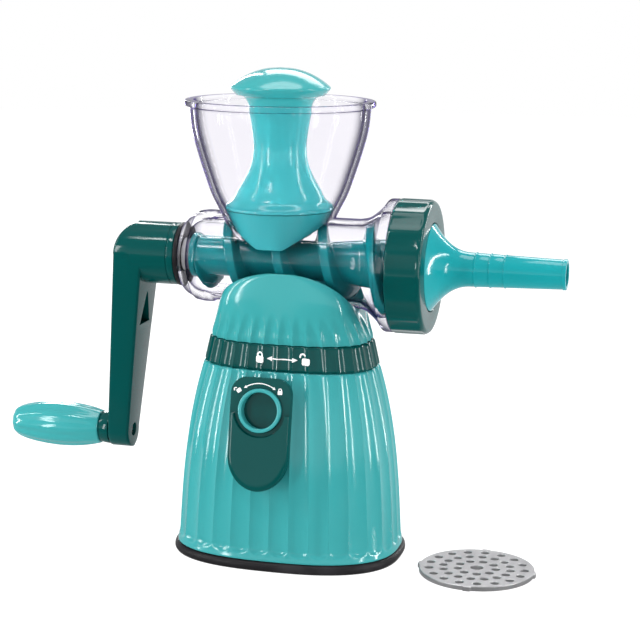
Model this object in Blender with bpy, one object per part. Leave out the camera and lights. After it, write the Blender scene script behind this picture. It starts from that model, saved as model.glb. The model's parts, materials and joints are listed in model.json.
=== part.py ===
"""Hand crank meat grinder on a suction base, as an assembly of separate pieces.

Sizes are in millimetres and turned into metres where a mesh is made.
+X runs along the barrel to the nozzle, -Y is the lever side, +Z is up.
The origin is on the table, straight below the hopper.
"""

import math

import bmesh
import bpy
import numpy as np
from mathutils import Matrix, Vector

MM = 0.001
GAP = 0.3                    # between two pieces that touch or are cut by each other
WALL = 2.5                   # of every turquoise casing
OVAL_SIDES = 32              # facets round the casing, the dome and the foot
ROUND_SIDES = 24             # round a turned piece
SMALL_SIDES = 16             # round a pin, a peg or a hole
SCREW_SIDES = 8

# Base casing: ovals centred on BASE_X, which lean in as they rise.
BASE_X = 8.0
BASE_HEIGHT = 108.0          # top of the casing, where the lock band sits
OVAL_POWER = 2.6
FOOT_A, FOOT_B = 65.0, 48.0  # half length and half width of the rubber foot
FOOT_HEIGHT = 5.0
FOOT_WIDTH = 10.0
FOOT_MARGIN = 2.2            # how far the foot stands out round the casing
FOOT_WALL = 2.6              # thickness of its wall inside the casing
BOSS_HEIGHT = 24.0
LEAN_A, LEAN_B = 13.6, 15.0  # how far the casing comes in, end and front
DECK = 3.0                   # flat top of the casing and of the band

# Lock band and dome above it.
BAND_HEIGHT = 14.0
BAND_LEAN = 3.2
HEAD_RISE = 43.0             # barrel axis above the band's top
LIP_DROP = 3.7               # the dome's lip ends this far below the barrel's axis
DOME_TAPER = 0.38            # how far each end of the dome comes in for each step up
DOME_CROWN = 21.3            # height at the top over which its ends round over
DOME_POWER = 5.0             # of its oval once its sides have filled out
DOME_FILL = 26.0             # height over which they fill out

# Bayonet that holds the head on the base.
SPIGOT_R, SPIGOT_WALL = 19.6, 3.4
BORE_CLEARANCE = 0.4
LUG_REACH, LUG_WIDTH, LUG_HEIGHT = 4.6, 7.0, 3.6
TWIST_DEG = 30.0

# Clear housing: barrel along X and hopper along Z.
BARREL_R, BARREL_WALL = 24.5, 3.5
REAR_X = -53.8
REAR_WALL = 4.3
COLLAR_R, COLLAR_WALL, COLLAR_REACH = 32.6, 3.0, 9.5
FLANGE_X, FLANGE_THICK, FLANGE_STEP = 63.0, 4.0, 3.9
HOPPER_WALL = 3.0
HOPPER_RISE = 87.8           # rim above the barrel's axis
HOPPER_RIM_R = 49.9
HOPPER_BEAD = 2.4
HOPPER_STEPS = (0.0, 0.10, 0.16, 0.23, 0.33, 0.40, 0.53, 0.67, 0.82, 1.0)    # share of its rise
HOPPER_SWELLS = (0.0, 0.04, 0.11, 0.22, 0.38, 0.50, 0.66, 0.81, 0.94, 1.0)   # and of its widening
PEG_R = 7.0

# Crank, shaft and auger.
CRANK_RADIUS = 104.0
SHAFT_FLATS = 11.0
SHAFT_START = -28.0
HUB_R = 17.5
SEAL_R, SEAL_THICK = 17.8, 2.3
SHAFT_SLIP = 0.4             # between the shaft's corners and the bush
BUSH_WALL = 2.5
AUGER_CLEARANCE = 0.7
AUGER_ROOT = 11.0
AUGER_PITCH = 27.0
ARM_TOP_X, ARM_FOOT_X = -92.0, -99.0     # outer face at the hub and at the grip
ARM_TOP_THICK, ARM_FOOT_THICK = 17.0, 12.6
ARM_FOOT_R = 10.0
ARM_SHOULDER = 12.0
ARM_WEB = 1.6                # between the bolt's well and the shaft's socket
BOLT_R, BOLT_HEAD_R, BOLT_HEAD = 2.0, 5.6, 3.4
GRIP_R, GRIP_LENGTH = 12.7, 54.0
COLLAR_LENGTH, GRIP_COLLAR_R = 6.0, 8.7
GRIP_SCREW_R = 2.0

# Cutting end.
PLATE_THICK, PLATE_LUG = 2.6, 1.0
JOURNAL_R = 3.1
KNIFE_SLIP, KNIFE_THICK, KNIFE_SQUARE = 2.6, 3.4, 9.0
NUT_WALL, NUT_FRONT = 4.1, 4.2
NUT_RIDGES = 18
NOZZLE_FLANGE = 2.5
NOZZLE_BASE_R, NOZZLE_NECK_R, NOZZLE_TIP_R = 23.7, 9.3, 8.0
NOZZLE_WALL = 1.7
NOZZLE_CONE, NOZZLE_LENGTH = 22.0, 72.9
SPARE_X, SPARE_Y = 118.0, -14.0          # the second plate lies on the table

# Pusher.
KNOB_R, KNOB_RISE = 27.4, 17.6           # knob's top above the hopper's rim
PUSHER_NECK_R = 15.0
PUSHER_DROP = 59.4                       # rim of the pusher's body below the hopper's rim
PUSHER_SLIP = 0.5

# Suction lever, its cam and the cup that it lifts.
LEVER_X, LEVER_DROP = 2.2, 19.7          # below the casing's top
LEVER_TILT = 10.0
LEVER_STANDOFF = 1.5
LEVER_HALF, LEVER_TOP, LEVER_TAIL = 17.0, 17.8, 44.0
LEVER_THICK, LEVER_PAD = 5.0, 2.0
RING_R, RING_WALL = 12.0, 2.1
RECESS_R = 14.8
HUB_PEG_R = 7.6
CAM_R, CAM_THROW, CAM_PIN_R = 9.5, 4.2, 2.2
ROD_R = 3.0
CUP_DOME = 7.5               # height of the cup's hollow when it is pulled up
PLATE_Z, BASE_PLATE_THICK = 11.5, 2.8
SPRING_R, SPRING_WIRE, SPRING_TURNS = 6.2, 0.8, 5
SPRING_TOP = 46.0
SCREW_R, SCREW_HEAD_R, SCREW_HEAD = 1.5, 3.2, 2.2

# Worked out from the sizes above.
BAND_Z = BASE_HEIGHT + GAP
BAND_TOP = BAND_Z + BAND_HEIGHT
DOME_Z = BAND_TOP + GAP
AXIS_Z = BAND_TOP + HEAD_RISE
SHELL_Z = FOOT_HEIGHT + GAP
SHELL_A, SHELL_B = FOOT_A - FOOT_MARGIN, FOOT_B - FOOT_MARGIN
CUP_R = FOOT_B - FOOT_WIDTH - 2 * GAP
LEVER_Z = BASE_HEIGHT - LEVER_DROP
BORE_R = BARREL_R - BARREL_WALL
RIM_Z = AXIS_Z + HOPPER_RISE
GRIP_Z = AXIS_Z - CRANK_RADIUS
HUB_END = REAR_X - 2 * GAP - SEAL_THICK
FLANGE_R = COLLAR_R + FLANGE_STEP
COLLAR_END = FLANGE_X + FLANGE_THICK + COLLAR_REACH
CHAMBER_R = COLLAR_R - COLLAR_WALL
AUGER_START = REAR_X + REAR_WALL + GAP
AUGER_END = COLLAR_END - KNIFE_THICK - 1.1
KNIFE_R = CHAMBER_R - KNIFE_SLIP
PLATE_R = COLLAR_R - 1.0
PLATE_X = COLLAR_END + GAP
NOZZLE_X = PLATE_X + PLATE_THICK + GAP
NUT_X = FLANGE_X + FLANGE_THICK + GAP
NUT_R = COLLAR_R + NUT_WALL
NUT_FACE = NOZZLE_X + NOZZLE_FLANGE + GAP + NUT_FRONT
SHAFT_CORNER = SHAFT_FLATS / math.sqrt(3)
BUSH_R = SHAFT_CORNER + SHAFT_SLIP + BUSH_WALL
WELL_FLOOR = ARM_TOP_X + BOLT_HEAD + GAP + 1.9
SHAFT_END = WELL_FLOOR + ARM_WEB + GAP
SPIGOT_PLATE_Z = DOME_Z + 4.0
SADDLE_Z = AXIS_Z - BARREL_R - GAP - 3.5


# ---------------------------------------------------------------- tools

def material(name, colour, roughness, metallic=0.0, alpha=1.0):
    """A Principled material of one plain finish."""
    made = bpy.data.materials.new(name)
    made.use_nodes = True
    shader = made.node_tree.nodes["Principled BSDF"]
    shader.inputs["Base Color"].default_value = (*colour, 1.0)
    shader.inputs["Roughness"].default_value = roughness
    shader.inputs["Metallic"].default_value = metallic
    shader.inputs["Alpha"].default_value = alpha
    made.diffuse_color = (*colour, alpha)
    return made


def skin(name, rings, finish=None, loop=False, centre=(0.0, 0.0, 0.0), sharp=35.0):
    """Joins rings of points with quads; the ends are capped, or joined when loop is set."""
    build = bmesh.new()
    pivot = Vector(centre)
    grid = [[build.verts.new((Vector(p) - pivot) * MM) for p in ring] for ring in rings]
    count = len(grid[0])
    pairs = list(zip(grid, grid[1:] + grid[:1])) if loop else list(zip(grid, grid[1:]))
    for low, high in pairs:
        for i in range(count):
            j = (i + 1) % count
            build.faces.new((low[i], low[j], high[j], high[i]))
    if not loop:
        for ring in (rings[0], rings[-1]):
            corners = grid[0] if ring is rings[0] else grid[-1]
            if np.ptp(np.array(ring, dtype=float), axis=0).max() > 1e-6:
                build.faces.new(corners)
    bmesh.ops.remove_doubles(build, verts=build.verts, dist=1e-7)
    bmesh.ops.recalc_face_normals(build, faces=build.faces)
    return finished(name, build, finish, centre, sharp)


def finished(name, build, finish, centre=(0.0, 0.0, 0.0), sharp=35.0):
    """Turns a bmesh into an object whose origin is at centre; no finish makes it a guide."""
    mesh = bpy.data.meshes.new(name)
    build.to_mesh(mesh)
    build.free()
    mesh.shade_smooth()
    mesh.set_sharp_from_angle(angle=math.radians(sharp))
    piece = bpy.data.objects.new(name, mesh)
    piece.location = Vector(centre) * MM
    bpy.context.scene.collection.objects.link(piece)
    if finish is None:
        piece.hide_render = True
        piece.display_type = "WIRE"
    else:
        mesh.materials.append(finish)
    return piece


def combine(piece, other, operation):
    """Cuts or joins a guide shape into a piece with a live Boolean."""
    step = piece.modifiers.new(other.name, "BOOLEAN")
    step.operation = operation
    step.solver = "EXACT"
    step.object = other
    return piece


def cut(piece, *others):
    for other in others:
        combine(piece, other, "DIFFERENCE")


def join(piece, *others):
    for other in others:
        combine(piece, other, "UNION")


def oval(a, b, z, power=OVAL_POWER, x=BASE_X, count=OVAL_SIDES):
    """A superellipse, |x/a|^power + |y/b|^power = 1, at height z."""
    turn = np.linspace(0.0, 2 * math.pi, count, endpoint=False) + math.pi / count
    c, s = np.cos(turn), np.sin(turn)
    xs = x + a * np.sign(c) * np.abs(c) ** (2 / power)
    ys = b * np.sign(s) * np.abs(s) ** (2 / power)
    return [(px, py, z) for px, py in zip(xs, ys)]


def circle(r, z, x=BASE_X, y=0.0, count=OVAL_SIDES):
    turn = np.linspace(0.0, 2 * math.pi, count, endpoint=False) + math.pi / count
    return [(x + r * c, y + r * s, z) for c, s in zip(np.cos(turn), np.sin(turn))]


def turned(name, profile, finish=None, along="Z", at=(0.0, 0.0), count=ROUND_SIDES, loop=False,
           centre=None):
    """A profile of (place along the axis, radius) points, turned about the axis.

    at is (x, y) for an axis along Z, or (y, z) for one along X.
    """
    turn = np.linspace(0.0, 2 * math.pi, count, endpoint=False) + math.pi / count
    c, s = np.cos(turn), np.sin(turn)
    rings = []
    for place, r in profile:
        if along == "Z":
            rings.append([(at[0] + r * u, at[1] + r * v, place) for u, v in zip(c, s)])
        else:
            rings.append([(place, at[0] + r * u, at[1] + r * v) for u, v in zip(c, s)])
    start = profile[0][0]
    if centre is None:
        centre = (at[0], at[1], start) if along == "Z" else (start, at[0], at[1])
    return skin(name, rings, finish, loop, centre)


def block(name, low, high, finish=None):
    """A box between two corners."""
    (x0, y0, z0), (x1, y1, z1) = low, high
    rings = [[(x0, y0, z), (x1, y0, z), (x1, y1, z), (x0, y1, z)] for z in (z0, z1)]
    return skin(name, rings, finish)


def screw(name, head_z, tip_z, x, y, finish):
    """A pan-head screw pointing up from head_z, with a cross slot left to the finish."""
    seat = head_z + SCREW_HEAD
    profile = [(head_z, 0.0), (head_z, SCREW_HEAD_R * 0.8), (head_z + 0.6, SCREW_HEAD_R),
               (seat, SCREW_HEAD_R), (seat, SCREW_R), (tip_z - 1.5, SCREW_R), (tip_z, 0.0)]
    return turned(name, profile, finish, at=(x, y), count=SCREW_SIDES)


def empty(name, place):
    """A joint's axis, which its moving pieces are parented to."""
    axis = bpy.data.objects.new(name, None)
    axis.location = Vector(place) * MM
    axis.empty_display_size = 0.01
    bpy.context.scene.collection.objects.link(axis)
    return axis


def ride(axis, *pieces):
    """Parents pieces to a joint's axis without moving them."""
    bpy.context.view_layer.update()
    for piece in pieces:
        piece.parent = axis
        piece.matrix_parent_inverse = axis.matrix_world.inverted()


# ---------------------------------------------------------------- shapes that several pieces share

def shell_half(z, inset=0.0):
    """Half length and half width of the base casing at height z."""
    t = np.clip(z / BASE_HEIGHT, 0.0, 1.0)
    lean = 0.32 * t + 0.68 * t ** 3
    return SHELL_A - LEAN_A * lean - inset, SHELL_B - LEAN_B * lean - inset


def band_half(z, inset=0.0):
    """Half length and half width of the lock band, which goes on leaning in."""
    a, b = shell_half(BASE_HEIGHT)
    t = (z - BASE_HEIGHT) / BAND_HEIGHT
    return a - BAND_LEAN * t - inset, b - BAND_LEAN * 0.6 * t - inset


def dome_half(z):
    """Half length and half width of the dome: its ends round over to the lip's top."""
    a, b = band_half(BAND_TOP)
    rise = z - BAND_TOP
    lip = AXIS_Z - LIP_DROP
    a_here = a - DOME_TAPER * rise
    crown = np.clip((z - lip) / DOME_CROWN + 1.0, 0.0, 1.0)
    b_here = b + (BARREL_R + 1.3 - b) * (rise / (lip - BAND_TOP))
    return a_here * math.sqrt(max(1.0 - crown ** 5, 0.0)), b_here


def dome_ring(z, inset=0.0):
    """The dome's section at height z: the casing's oval, its sides filled out higher up."""
    a, b = dome_half(max(z, DOME_Z))
    t = np.clip((z - BAND_TOP) / DOME_FILL, 0.0, 1.0)
    share = t * t * (3 - 2 * t)
    ring = []
    for x, y, _ in oval(1.0, 1.0, z, x=0.0):
        full = math.copysign(max(1.0 - abs(x) ** DOME_POWER, 0.0) ** (1 / DOME_POWER), y)
        ring.append((BASE_X + (a - inset) * x, (b - inset) * (y + (full - y) * share), z))
    return ring


def hopper_r(z):
    """Outer radius of the hopper at height z: a bell that runs into the barrel's sides."""
    t = np.clip((z - AXIS_Z) / HOPPER_RISE, 0.0, 1.0)
    foot = BARREL_R - 0.6
    swell = np.interp(t, HOPPER_STEPS, HOPPER_SWELLS)
    return foot + (HOPPER_RIM_R - foot) * swell


# ---------------------------------------------------------------- base

def foot_wall():
    """Outer and inner inset of the foot's inside wall, from the foot's edge."""
    outer = FOOT_MARGIN + WALL + 2 * GAP + 1.0
    return outer, outer + FOOT_WALL


def make_foot(rubber):
    """Rubber foot under the casing's edge, with a wall that goes up inside the casing."""
    def at(inset, z):
        return oval(FOOT_A - inset, FOOT_B - inset, z)
    wall_out, wall_in = foot_wall()
    rings = [at(0.8, 0.0), at(0.0, 1.2), at(0.0, FOOT_HEIGHT - 1.0), at(0.8, FOOT_HEIGHT),
             at(wall_out, FOOT_HEIGHT), at(wall_out, PLATE_Z - GAP), at(wall_in, PLATE_Z - GAP),
             at(wall_in, FOOT_HEIGHT), at(FOOT_WIDTH, FOOT_HEIGHT - 1.0), at(FOOT_WIDTH, 0.0)]
    return skin("foot_rim", rings, rubber, loop=True)


def boss_places():
    """Four screw bosses, just clear of the foot's inside wall."""
    inset = foot_wall()[1] + SCREW_HEAD_R + 1.2
    share = 0.5 ** (1 / OVAL_POWER)
    a, b = (FOOT_A - inset) * share, (FOOT_B - inset) * share
    return [(BASE_X + sx * a, sy * b) for sx in (-1, 1) for sy in (-1, 1)]


def boss_web(name, x, y, low, high):
    """A thin rib from a screw boss out to the middle of the casing's wall."""
    along = Vector((x - BASE_X, y))
    side = Vector((-along.y, along.x)).normalized() * 1.3
    rings = []
    for z in (low, high):
        a, b = shell_half(z, WALL / 2)
        size = ((abs(along.x) / a) ** OVAL_POWER + (abs(along.y) / b) ** OVAL_POWER)
        end = along / size ** (1 / OVAL_POWER)
        corners = (along - side, along + side, end + side, end - side)
        rings.append([(BASE_X + c.x, c.y, z) for c in corners])
    return skin(name, rings)


def make_base_shell(turquoise):
    """Casing: one wall from the foot up to a flat deck with a round opening."""
    heights = [SHELL_Z] + [BASE_HEIGHT * t for t in (0.2, 0.45, 0.65, 0.83, 1.0)]
    hole = SPIGOT_R + LUG_REACH + 1.6
    under = BASE_HEIGHT - DECK
    rings = [oval(*shell_half(z), z) for z in heights]
    rings += [circle(hole, BASE_HEIGHT), circle(hole, under)]
    rings += [oval(*shell_half(z, WALL), z) for z in [under] + heights[-2:0:-1] + [SHELL_Z]]
    shell = skin("base_shell", rings, turquoise, loop=True)
    low = PLATE_Z + BASE_PLATE_THICK + GAP
    for number, (x, y) in enumerate(boss_places(), 1):
        top = low + BOSS_HEIGHT
        post = turned(f"boss_{number}_guide", [(low, 0.0), (low, 4.0), (top, 4.0), (top, 0.0)],
                      at=(x, y), count=SCREW_SIDES)
        hole_top = low + BOSS_HEIGHT - 10.0
        pilot = turned(f"pilot_{number}_guide",
                       [(low - 1.0, 0.0), (low - 1.0, SCREW_R + GAP), (hole_top, SCREW_R + GAP),
                        (hole_top, 0.0)], at=(x, y), count=SCREW_SIDES)
        join(shell, post, boss_web(f"web_{number}_guide", x, y, low + 2.0, top - 1.0))
        cut(shell, pilot)
    for number, (x, y) in enumerate(band_screw_places(), 1):
        through = turned(f"deck_hole_{number}_guide",
                         [(under - 1, 0.0), (under - 1, SCREW_R + GAP),
                          (BASE_HEIGHT + 1, SCREW_R + GAP), (BASE_HEIGHT + 1, 0.0)],
                         at=(x, y), count=SCREW_SIDES)
        cut(shell, through)
    window = lever_shape("lever_window_guide", HUB_PEG_R + BORE_CLEARANCE, -12.0, 4.0)
    cut(shell, window)
    return shell


def make_base_plate(dark):
    """Inside bottom plate that the cup's stem passes through, with four screw holes."""
    top = PLATE_Z + BASE_PLATE_THICK
    a, b = shell_half(top, WALL + GAP + 0.3)
    plate = skin("base_plate", [oval(a, b, PLATE_Z), oval(a, b, top)], dark)
    stem = turned("stem_hole_guide", [(PLATE_Z - 1, 0), (PLATE_Z - 1, 8.0), (top + 1, 8.0),
                                      (top + 1, 0)], at=(BASE_X, 0.0), count=SMALL_SIDES)
    cut(plate, stem)
    for number, (x, y) in enumerate(boss_places(), 1):
        hole = turned(f"plate_hole_{number}_guide",
                      [(PLATE_Z - 1, 0), (PLATE_Z - 1, SCREW_R + GAP), (top + 1, SCREW_R + GAP),
                       (top + 1, 0)], at=(x, y), count=SCREW_SIDES)
        cut(plate, hole)
    return plate


def make_base_screws(steel):
    head = PLATE_Z - GAP - SCREW_HEAD
    tip = PLATE_Z + BASE_PLATE_THICK + 11.0
    return [screw(f"base_screw_{n}", head, tip, x, y, steel)
            for n, (x, y) in enumerate(boss_places(), 1)]


def make_cup(rubber):
    """Rubber suction cup, pulled up into its hollow shape by the lever."""
    rise = CUP_DOME
    profile = [(rise, 0.0), (rise - 0.3, 12.0), (3.4, 26.0), (0.5, CUP_R - 1.6), (0.4, CUP_R),
               (1.9, CUP_R), (3.1, CUP_R - 1.6), (6.6, 26.0), (rise + 2.7, 12.0), (rise + 3.2, 7.0),
               (rise + 9.5, 7.0), (rise + 9.5, ROD_R + GAP), (rise + 4.5, ROD_R + GAP),
               (rise + 4.5, 0.0)]
    return turned("suction_cup", profile, rubber, at=(BASE_X, 0.0))


# ---------------------------------------------------------------- lever and cam

def lever_matrix():
    """Lever frame: x right, y up the lever's face, z out of the casing."""
    tilt = math.radians(LEVER_TILT)
    _, b = shell_half(LEVER_Z)
    out = Vector((0.0, -math.cos(tilt), math.sin(tilt)))
    up = Vector((0.0, math.sin(tilt), math.cos(tilt)))
    right = Vector((1.0, 0.0, 0.0))
    place = Vector((LEVER_X, -b - LEVER_STANDOFF, LEVER_Z))
    turn = Matrix((right, up, out)).transposed().to_4x4()
    return Matrix.Translation(place * MM) @ turn


def lever_shape(name, r, low, high, finish=None, centre=(0.0, 0.0), count=SMALL_SIDES):
    """A round bar along the lever's axis, from low to high out of its back plane."""
    piece = turned(name, [(low, 0.0), (low, r), (high, r), (high, 0.0)], finish, at=centre,
                   count=count, centre=(0.0, 0.0, 0.0))
    piece.matrix_world = lever_matrix()
    return piece


def lever_outline():
    """Lever's face: round top corners, straight sides and a half-oval tail."""
    corner, tail = 9.0, 24.0
    points = []
    for degrees in range(0, 91, 30):
        angle = math.radians(degrees)
        points.append((LEVER_HALF - corner + corner * math.cos(angle),
                       LEVER_TOP - corner + corner * math.sin(angle)))
    points += [(-x, y) for x, y in reversed(points)]
    for degrees in range(180, 361, 20):
        angle = math.radians(degrees)
        points.append((LEVER_HALF * math.cos(angle), tail - LEVER_TAIL + tail * math.sin(angle)))
    return points


def make_lever(dark):
    """Lever plate: a well for the ring, a raised thumb pad and a peg through the casing."""
    top = LEVER_THICK + LEVER_PAD
    outline = lever_outline()
    rings = [[(x * s, y * s, z) for x, y in outline]
             for s, z in ((0.97, 0.0), (1.0, 1.0), (1.0, top - 1.2), (0.95, top))]
    lever = skin("lock_lever", rings, dark)
    lever.matrix_world = lever_matrix()
    step = lever_shape("lever_step_guide", RECESS_R, LEVER_THICK - 0.2, top + 2.0)
    upper = block("lever_upper_guide", (-30.0, -2.0, LEVER_THICK), (30.0, 40.0, top + 2.0))
    upper.matrix_world = lever_matrix()
    well = lever_shape("lever_well_guide", RING_R + GAP, 1.6, top + 2.0, count=ROUND_SIDES)
    peg = lever_shape("lever_peg_guide", HUB_PEG_R, -LEVER_STANDOFF - WALL - 3.0, 1.0)
    socket = block("lever_socket_guide", (-4.3, -4.3, -20.0), (4.3, 4.3, -1.0))
    socket.matrix_world = lever_matrix()
    cut(lever, step, upper, well)
    join(lever, peg)
    cut(lever, socket)
    return lever


def make_ring(turquoise):
    low, high = 1.6 + GAP, LEVER_THICK + 2.4
    inner = RING_R - RING_WALL
    profile = [(low, RING_R), (high - 0.6, RING_R), (high, RING_R - 0.6), (high, inner + 0.5),
               (high - 0.5, inner), (low, inner)]
    ring = turned("lever_ring", profile, turquoise, loop=True, centre=(0.0, 0.0, 0.0))
    ring.matrix_world = lever_matrix()
    return ring


def make_cam(metal):
    """Cam: a disc behind the casing's wall, with a square peg and an off-centre pin."""
    face = -LEVER_STANDOFF - WALL - 3.0 - GAP
    back = face - 4.0
    cam = lever_shape("cam", CAM_R, back, face, metal)
    key = block("cam_key_guide", (-4.0, -4.0, back + 1.0), (4.0, 4.0, -1.0 - GAP))
    key.matrix_world = lever_matrix()
    side = CAM_THROW * math.sqrt(0.5)
    pin = lever_shape("cam_pin_guide", CAM_PIN_R, back - 9.0, back + 1.0, centre=(-side, side),
                      count=SMALL_SIDES)
    join(cam, key, pin)
    return cam


def yoke_place():
    """Where the cam's pin crosses the yoke, at rest."""
    back = -LEVER_STANDOFF - WALL - 3.0 - GAP - 4.0
    side = CAM_THROW * math.sqrt(0.5)
    point = lever_matrix() @ (Vector((-side, side, back - 4.5)) * MM)
    return point / MM


def make_pull_rod(metal):
    """Rod from the cup's stem to a slotted yoke that the cam's pin lifts."""
    pin = yoke_place()
    low = CUP_DOME + 4.5 + GAP
    top = pin.z - 2.0
    profile = [(low, 0.0), (low, ROD_R), (SPRING_TOP, ROD_R), (SPRING_TOP, SPRING_R + 1.6),
               (SPRING_TOP + 2.0, SPRING_R + 1.6), (SPRING_TOP + 2.0, ROD_R), (top, ROD_R),
               (top, 0.0)]
    rod = turned("pull_rod", profile, metal, at=(BASE_X, 0.0), count=SMALL_SIDES)
    tall = 7.0
    yoke = block("yoke_guide", (pin.x - 10.0, pin.y - 2.5, pin.z - tall),
                 (BASE_X + 3.5, pin.y + 2.5, pin.z + tall))
    arm = block("yoke_arm_guide", (BASE_X - 3.5, pin.y, pin.z - tall),
                (BASE_X + 3.5, 3.5, pin.z + 2.0))
    slot_half = CAM_PIN_R + 0.9
    slot = block("yoke_slot_guide", (pin.x - 6.2, pin.y - 4.0, pin.z - slot_half),
                 (pin.x + 3.2, pin.y + 4.0, pin.z + slot_half))
    join(rod, yoke, arm)
    cut(rod, slot)
    return rod


def make_spring(steel):
    """Coil spring between the base plate and the rod's collar."""
    low = PLATE_Z + BASE_PLATE_THICK + SPRING_WIRE + GAP
    high = SPRING_TOP - SPRING_WIRE - GAP
    steps = SPRING_TURNS * 10
    rings = []
    for i in range(steps + 1):
        angle = 2 * math.pi * SPRING_TURNS * i / steps
        middle = Vector((BASE_X + (SPRING_R + 2.6) * math.cos(angle),
                         (SPRING_R + 2.6) * math.sin(angle), low + (high - low) * i / steps))
        out = Vector((math.cos(angle), math.sin(angle), 0.0))
        ring = []
        for k in range(4):
            turn = 2 * math.pi * k / 4
            ring.append(middle + out * SPRING_WIRE * math.cos(turn)
                        + Vector((0, 0, 1)) * SPRING_WIRE * math.sin(turn))
        rings.append([tuple(p) for p in ring])
    return skin("cup_spring", rings, steel, centre=(BASE_X, 0.0, low))


# ---------------------------------------------------------------- band, dome and bayonet

def band_screw_places():
    a, _ = band_half(BAND_Z, WALL)
    reach = (SPIGOT_R + LUG_REACH + 4.0 + a) / 2
    return [(BASE_X - reach, 0.0), (BASE_X + reach, 0.0)]


def make_band(dark):
    """Lock band: an upside-down channel between the casing and the dome."""
    bore = SPIGOT_R + BORE_CLEARANCE
    tube = bore + WALL
    under = BAND_TOP - DECK
    rings = [oval(*band_half(BAND_Z), BAND_Z), oval(*band_half(BAND_TOP), BAND_TOP),
             circle(bore, BAND_TOP), circle(bore, BAND_Z), circle(tube, BAND_Z),
             circle(tube, under), oval(*band_half(under, WALL), under),
             oval(*band_half(BAND_Z, WALL), BAND_Z)]
    band = skin("lock_band", rings, dark, loop=True)
    for number, (x, y) in enumerate(band_screw_places(), 1):
        post = turned(f"band_post_{number}_guide",
                      [(BAND_Z, 0.0), (BAND_Z, 3.8), (BAND_TOP - 1.0, 3.8), (BAND_TOP - 1.0, 0.0)],
                      at=(x, y), count=SCREW_SIDES)
        pilot = turned(f"band_pilot_{number}_guide",
                       [(BAND_Z - 1.0, 0.0), (BAND_Z - 1.0, SCREW_R + GAP),
                        (under - 0.5, SCREW_R + GAP), (under - 0.5, 0.0)],
                       at=(x, y), count=SCREW_SIDES)
        join(band, post)
        cut(band, pilot)
    reach = SPIGOT_R + LUG_REACH + BORE_CLEARANCE
    half = LUG_WIDTH / 2 + BORE_CLEARANCE
    keyway = block("keyway_guide", (-reach, -half, BAND_Z - 2.0), (reach, half, BAND_TOP + 2.0))
    keyway.matrix_world = (Matrix.Translation(Vector((BASE_X, 0.0, 0.0)) * MM)
                           @ Matrix.Rotation(math.radians(TWIST_DEG), 4, "Z"))
    cut(band, keyway)
    return band


def make_band_screws(steel):
    head = BASE_HEIGHT - DECK - GAP - SCREW_HEAD
    tip = BAND_TOP - DECK - 1.5
    return [screw(f"band_screw_{n}", head, tip, x, y, steel)
            for n, (x, y) in enumerate(band_screw_places(), 1)]


def make_dome(turquoise):
    """Dome: rises from the band to a lip in front of and behind the barrel."""
    lip = AXIS_Z - LIP_DROP
    heights = [DOME_Z] + [DOME_Z + (lip - DOME_Z) * t
                          for t in (0.2, 0.42, 0.62, 0.78, 0.90, 0.98)]
    dome = skin("dome", [dome_ring(z) for z in heights], turquoise)
    levels = (DOME_Z - 1.0, DOME_Z, 0.5 * (DOME_Z + SADDLE_Z), SADDLE_Z)
    cavity = skin("dome_cavity_guide", [dome_ring(z, WALL) for z in levels])
    low = SPIGOT_PLATE_Z + 3.0 + GAP
    boss_r = spigot_screw_places()[1] - BASE_X + 3.6
    core = turned("dome_boss_guide", [(low, 0.0), (low, boss_r), (SADDLE_Z + 1.0, boss_r),
                                      (SADDLE_Z + 1.0, 0.0)], at=(BASE_X, 0.0))
    socket = turned("peg_hole_guide", [(DOME_Z, 0.0), (DOME_Z, PEG_R + GAP), (AXIS_Z, PEG_R + GAP),
                                       (AXIS_Z, 0.0)], at=(BASE_X, 0.0), count=SMALL_SIDES)
    barrel = [(x, r + GAP) for x, r in barrel_outside()]
    barrel = [(REAR_X, 0.0)] + barrel + [(COLLAR_END, 0.0)]
    cut(dome, turned("saddle_guide", barrel, along="X", at=(0.0, AXIS_Z)), cavity)
    join(dome, core)
    for number, x in enumerate(spigot_screw_places(), 1):
        pilot = turned(f"dome_pilot_{number}_guide",
                       [(low - 1, 0.0), (low - 1, SCREW_R + GAP), (low + 7.0, SCREW_R + GAP),
                        (low + 7.0, 0.0)], at=(x, 0.0), count=SCREW_SIDES)
        cut(dome, pilot)
    cut(dome, socket)
    return dome


def spigot_screw_places():
    reach = SPIGOT_R - SPIGOT_WALL - SCREW_HEAD_R - 2 * GAP
    return [BASE_X - reach, BASE_X + reach]


def make_spigot(dark):
    """Bayonet spigot: a tube with two lugs under a plate that is screwed to the dome."""
    low = BASE_HEIGHT - GAP - LUG_HEIGHT - 0.6
    plate, top = SPIGOT_PLATE_Z, SPIGOT_PLATE_Z + 3.0
    inner = SPIGOT_R - SPIGOT_WALL
    rim = SPIGOT_R + 2.6
    profile = [(plate, 0.0), (plate, inner), (low, inner), (low, SPIGOT_R), (plate, SPIGOT_R),
               (plate, rim), (top, rim), (top, 0.0)]
    spigot = turned("bayonet_spigot", profile, dark, at=(BASE_X, 0.0))
    lug_top = BASE_HEIGHT - GAP
    reach = SPIGOT_R + LUG_REACH
    for side, name in ((-1, "left"), (1, "right")):
        near, far = sorted((side * (inner + 1.0), side * reach))
        lug = block(f"lug_{name}_guide", (BASE_X + near, -LUG_WIDTH / 2, lug_top - LUG_HEIGHT),
                    (BASE_X + far, LUG_WIDTH / 2, lug_top))
        join(spigot, lug)
    for number, x in enumerate([BASE_X] + spigot_screw_places(), 1):
        hole = turned(f"spigot_hole_{number}_guide",
                      [(plate - 1, 0.0), (plate - 1, SCREW_R + GAP), (top + 1, SCREW_R + GAP),
                       (top + 1, 0.0)], at=(x, 0.0), count=SCREW_SIDES)
        cut(spigot, hole)
    return spigot


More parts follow.
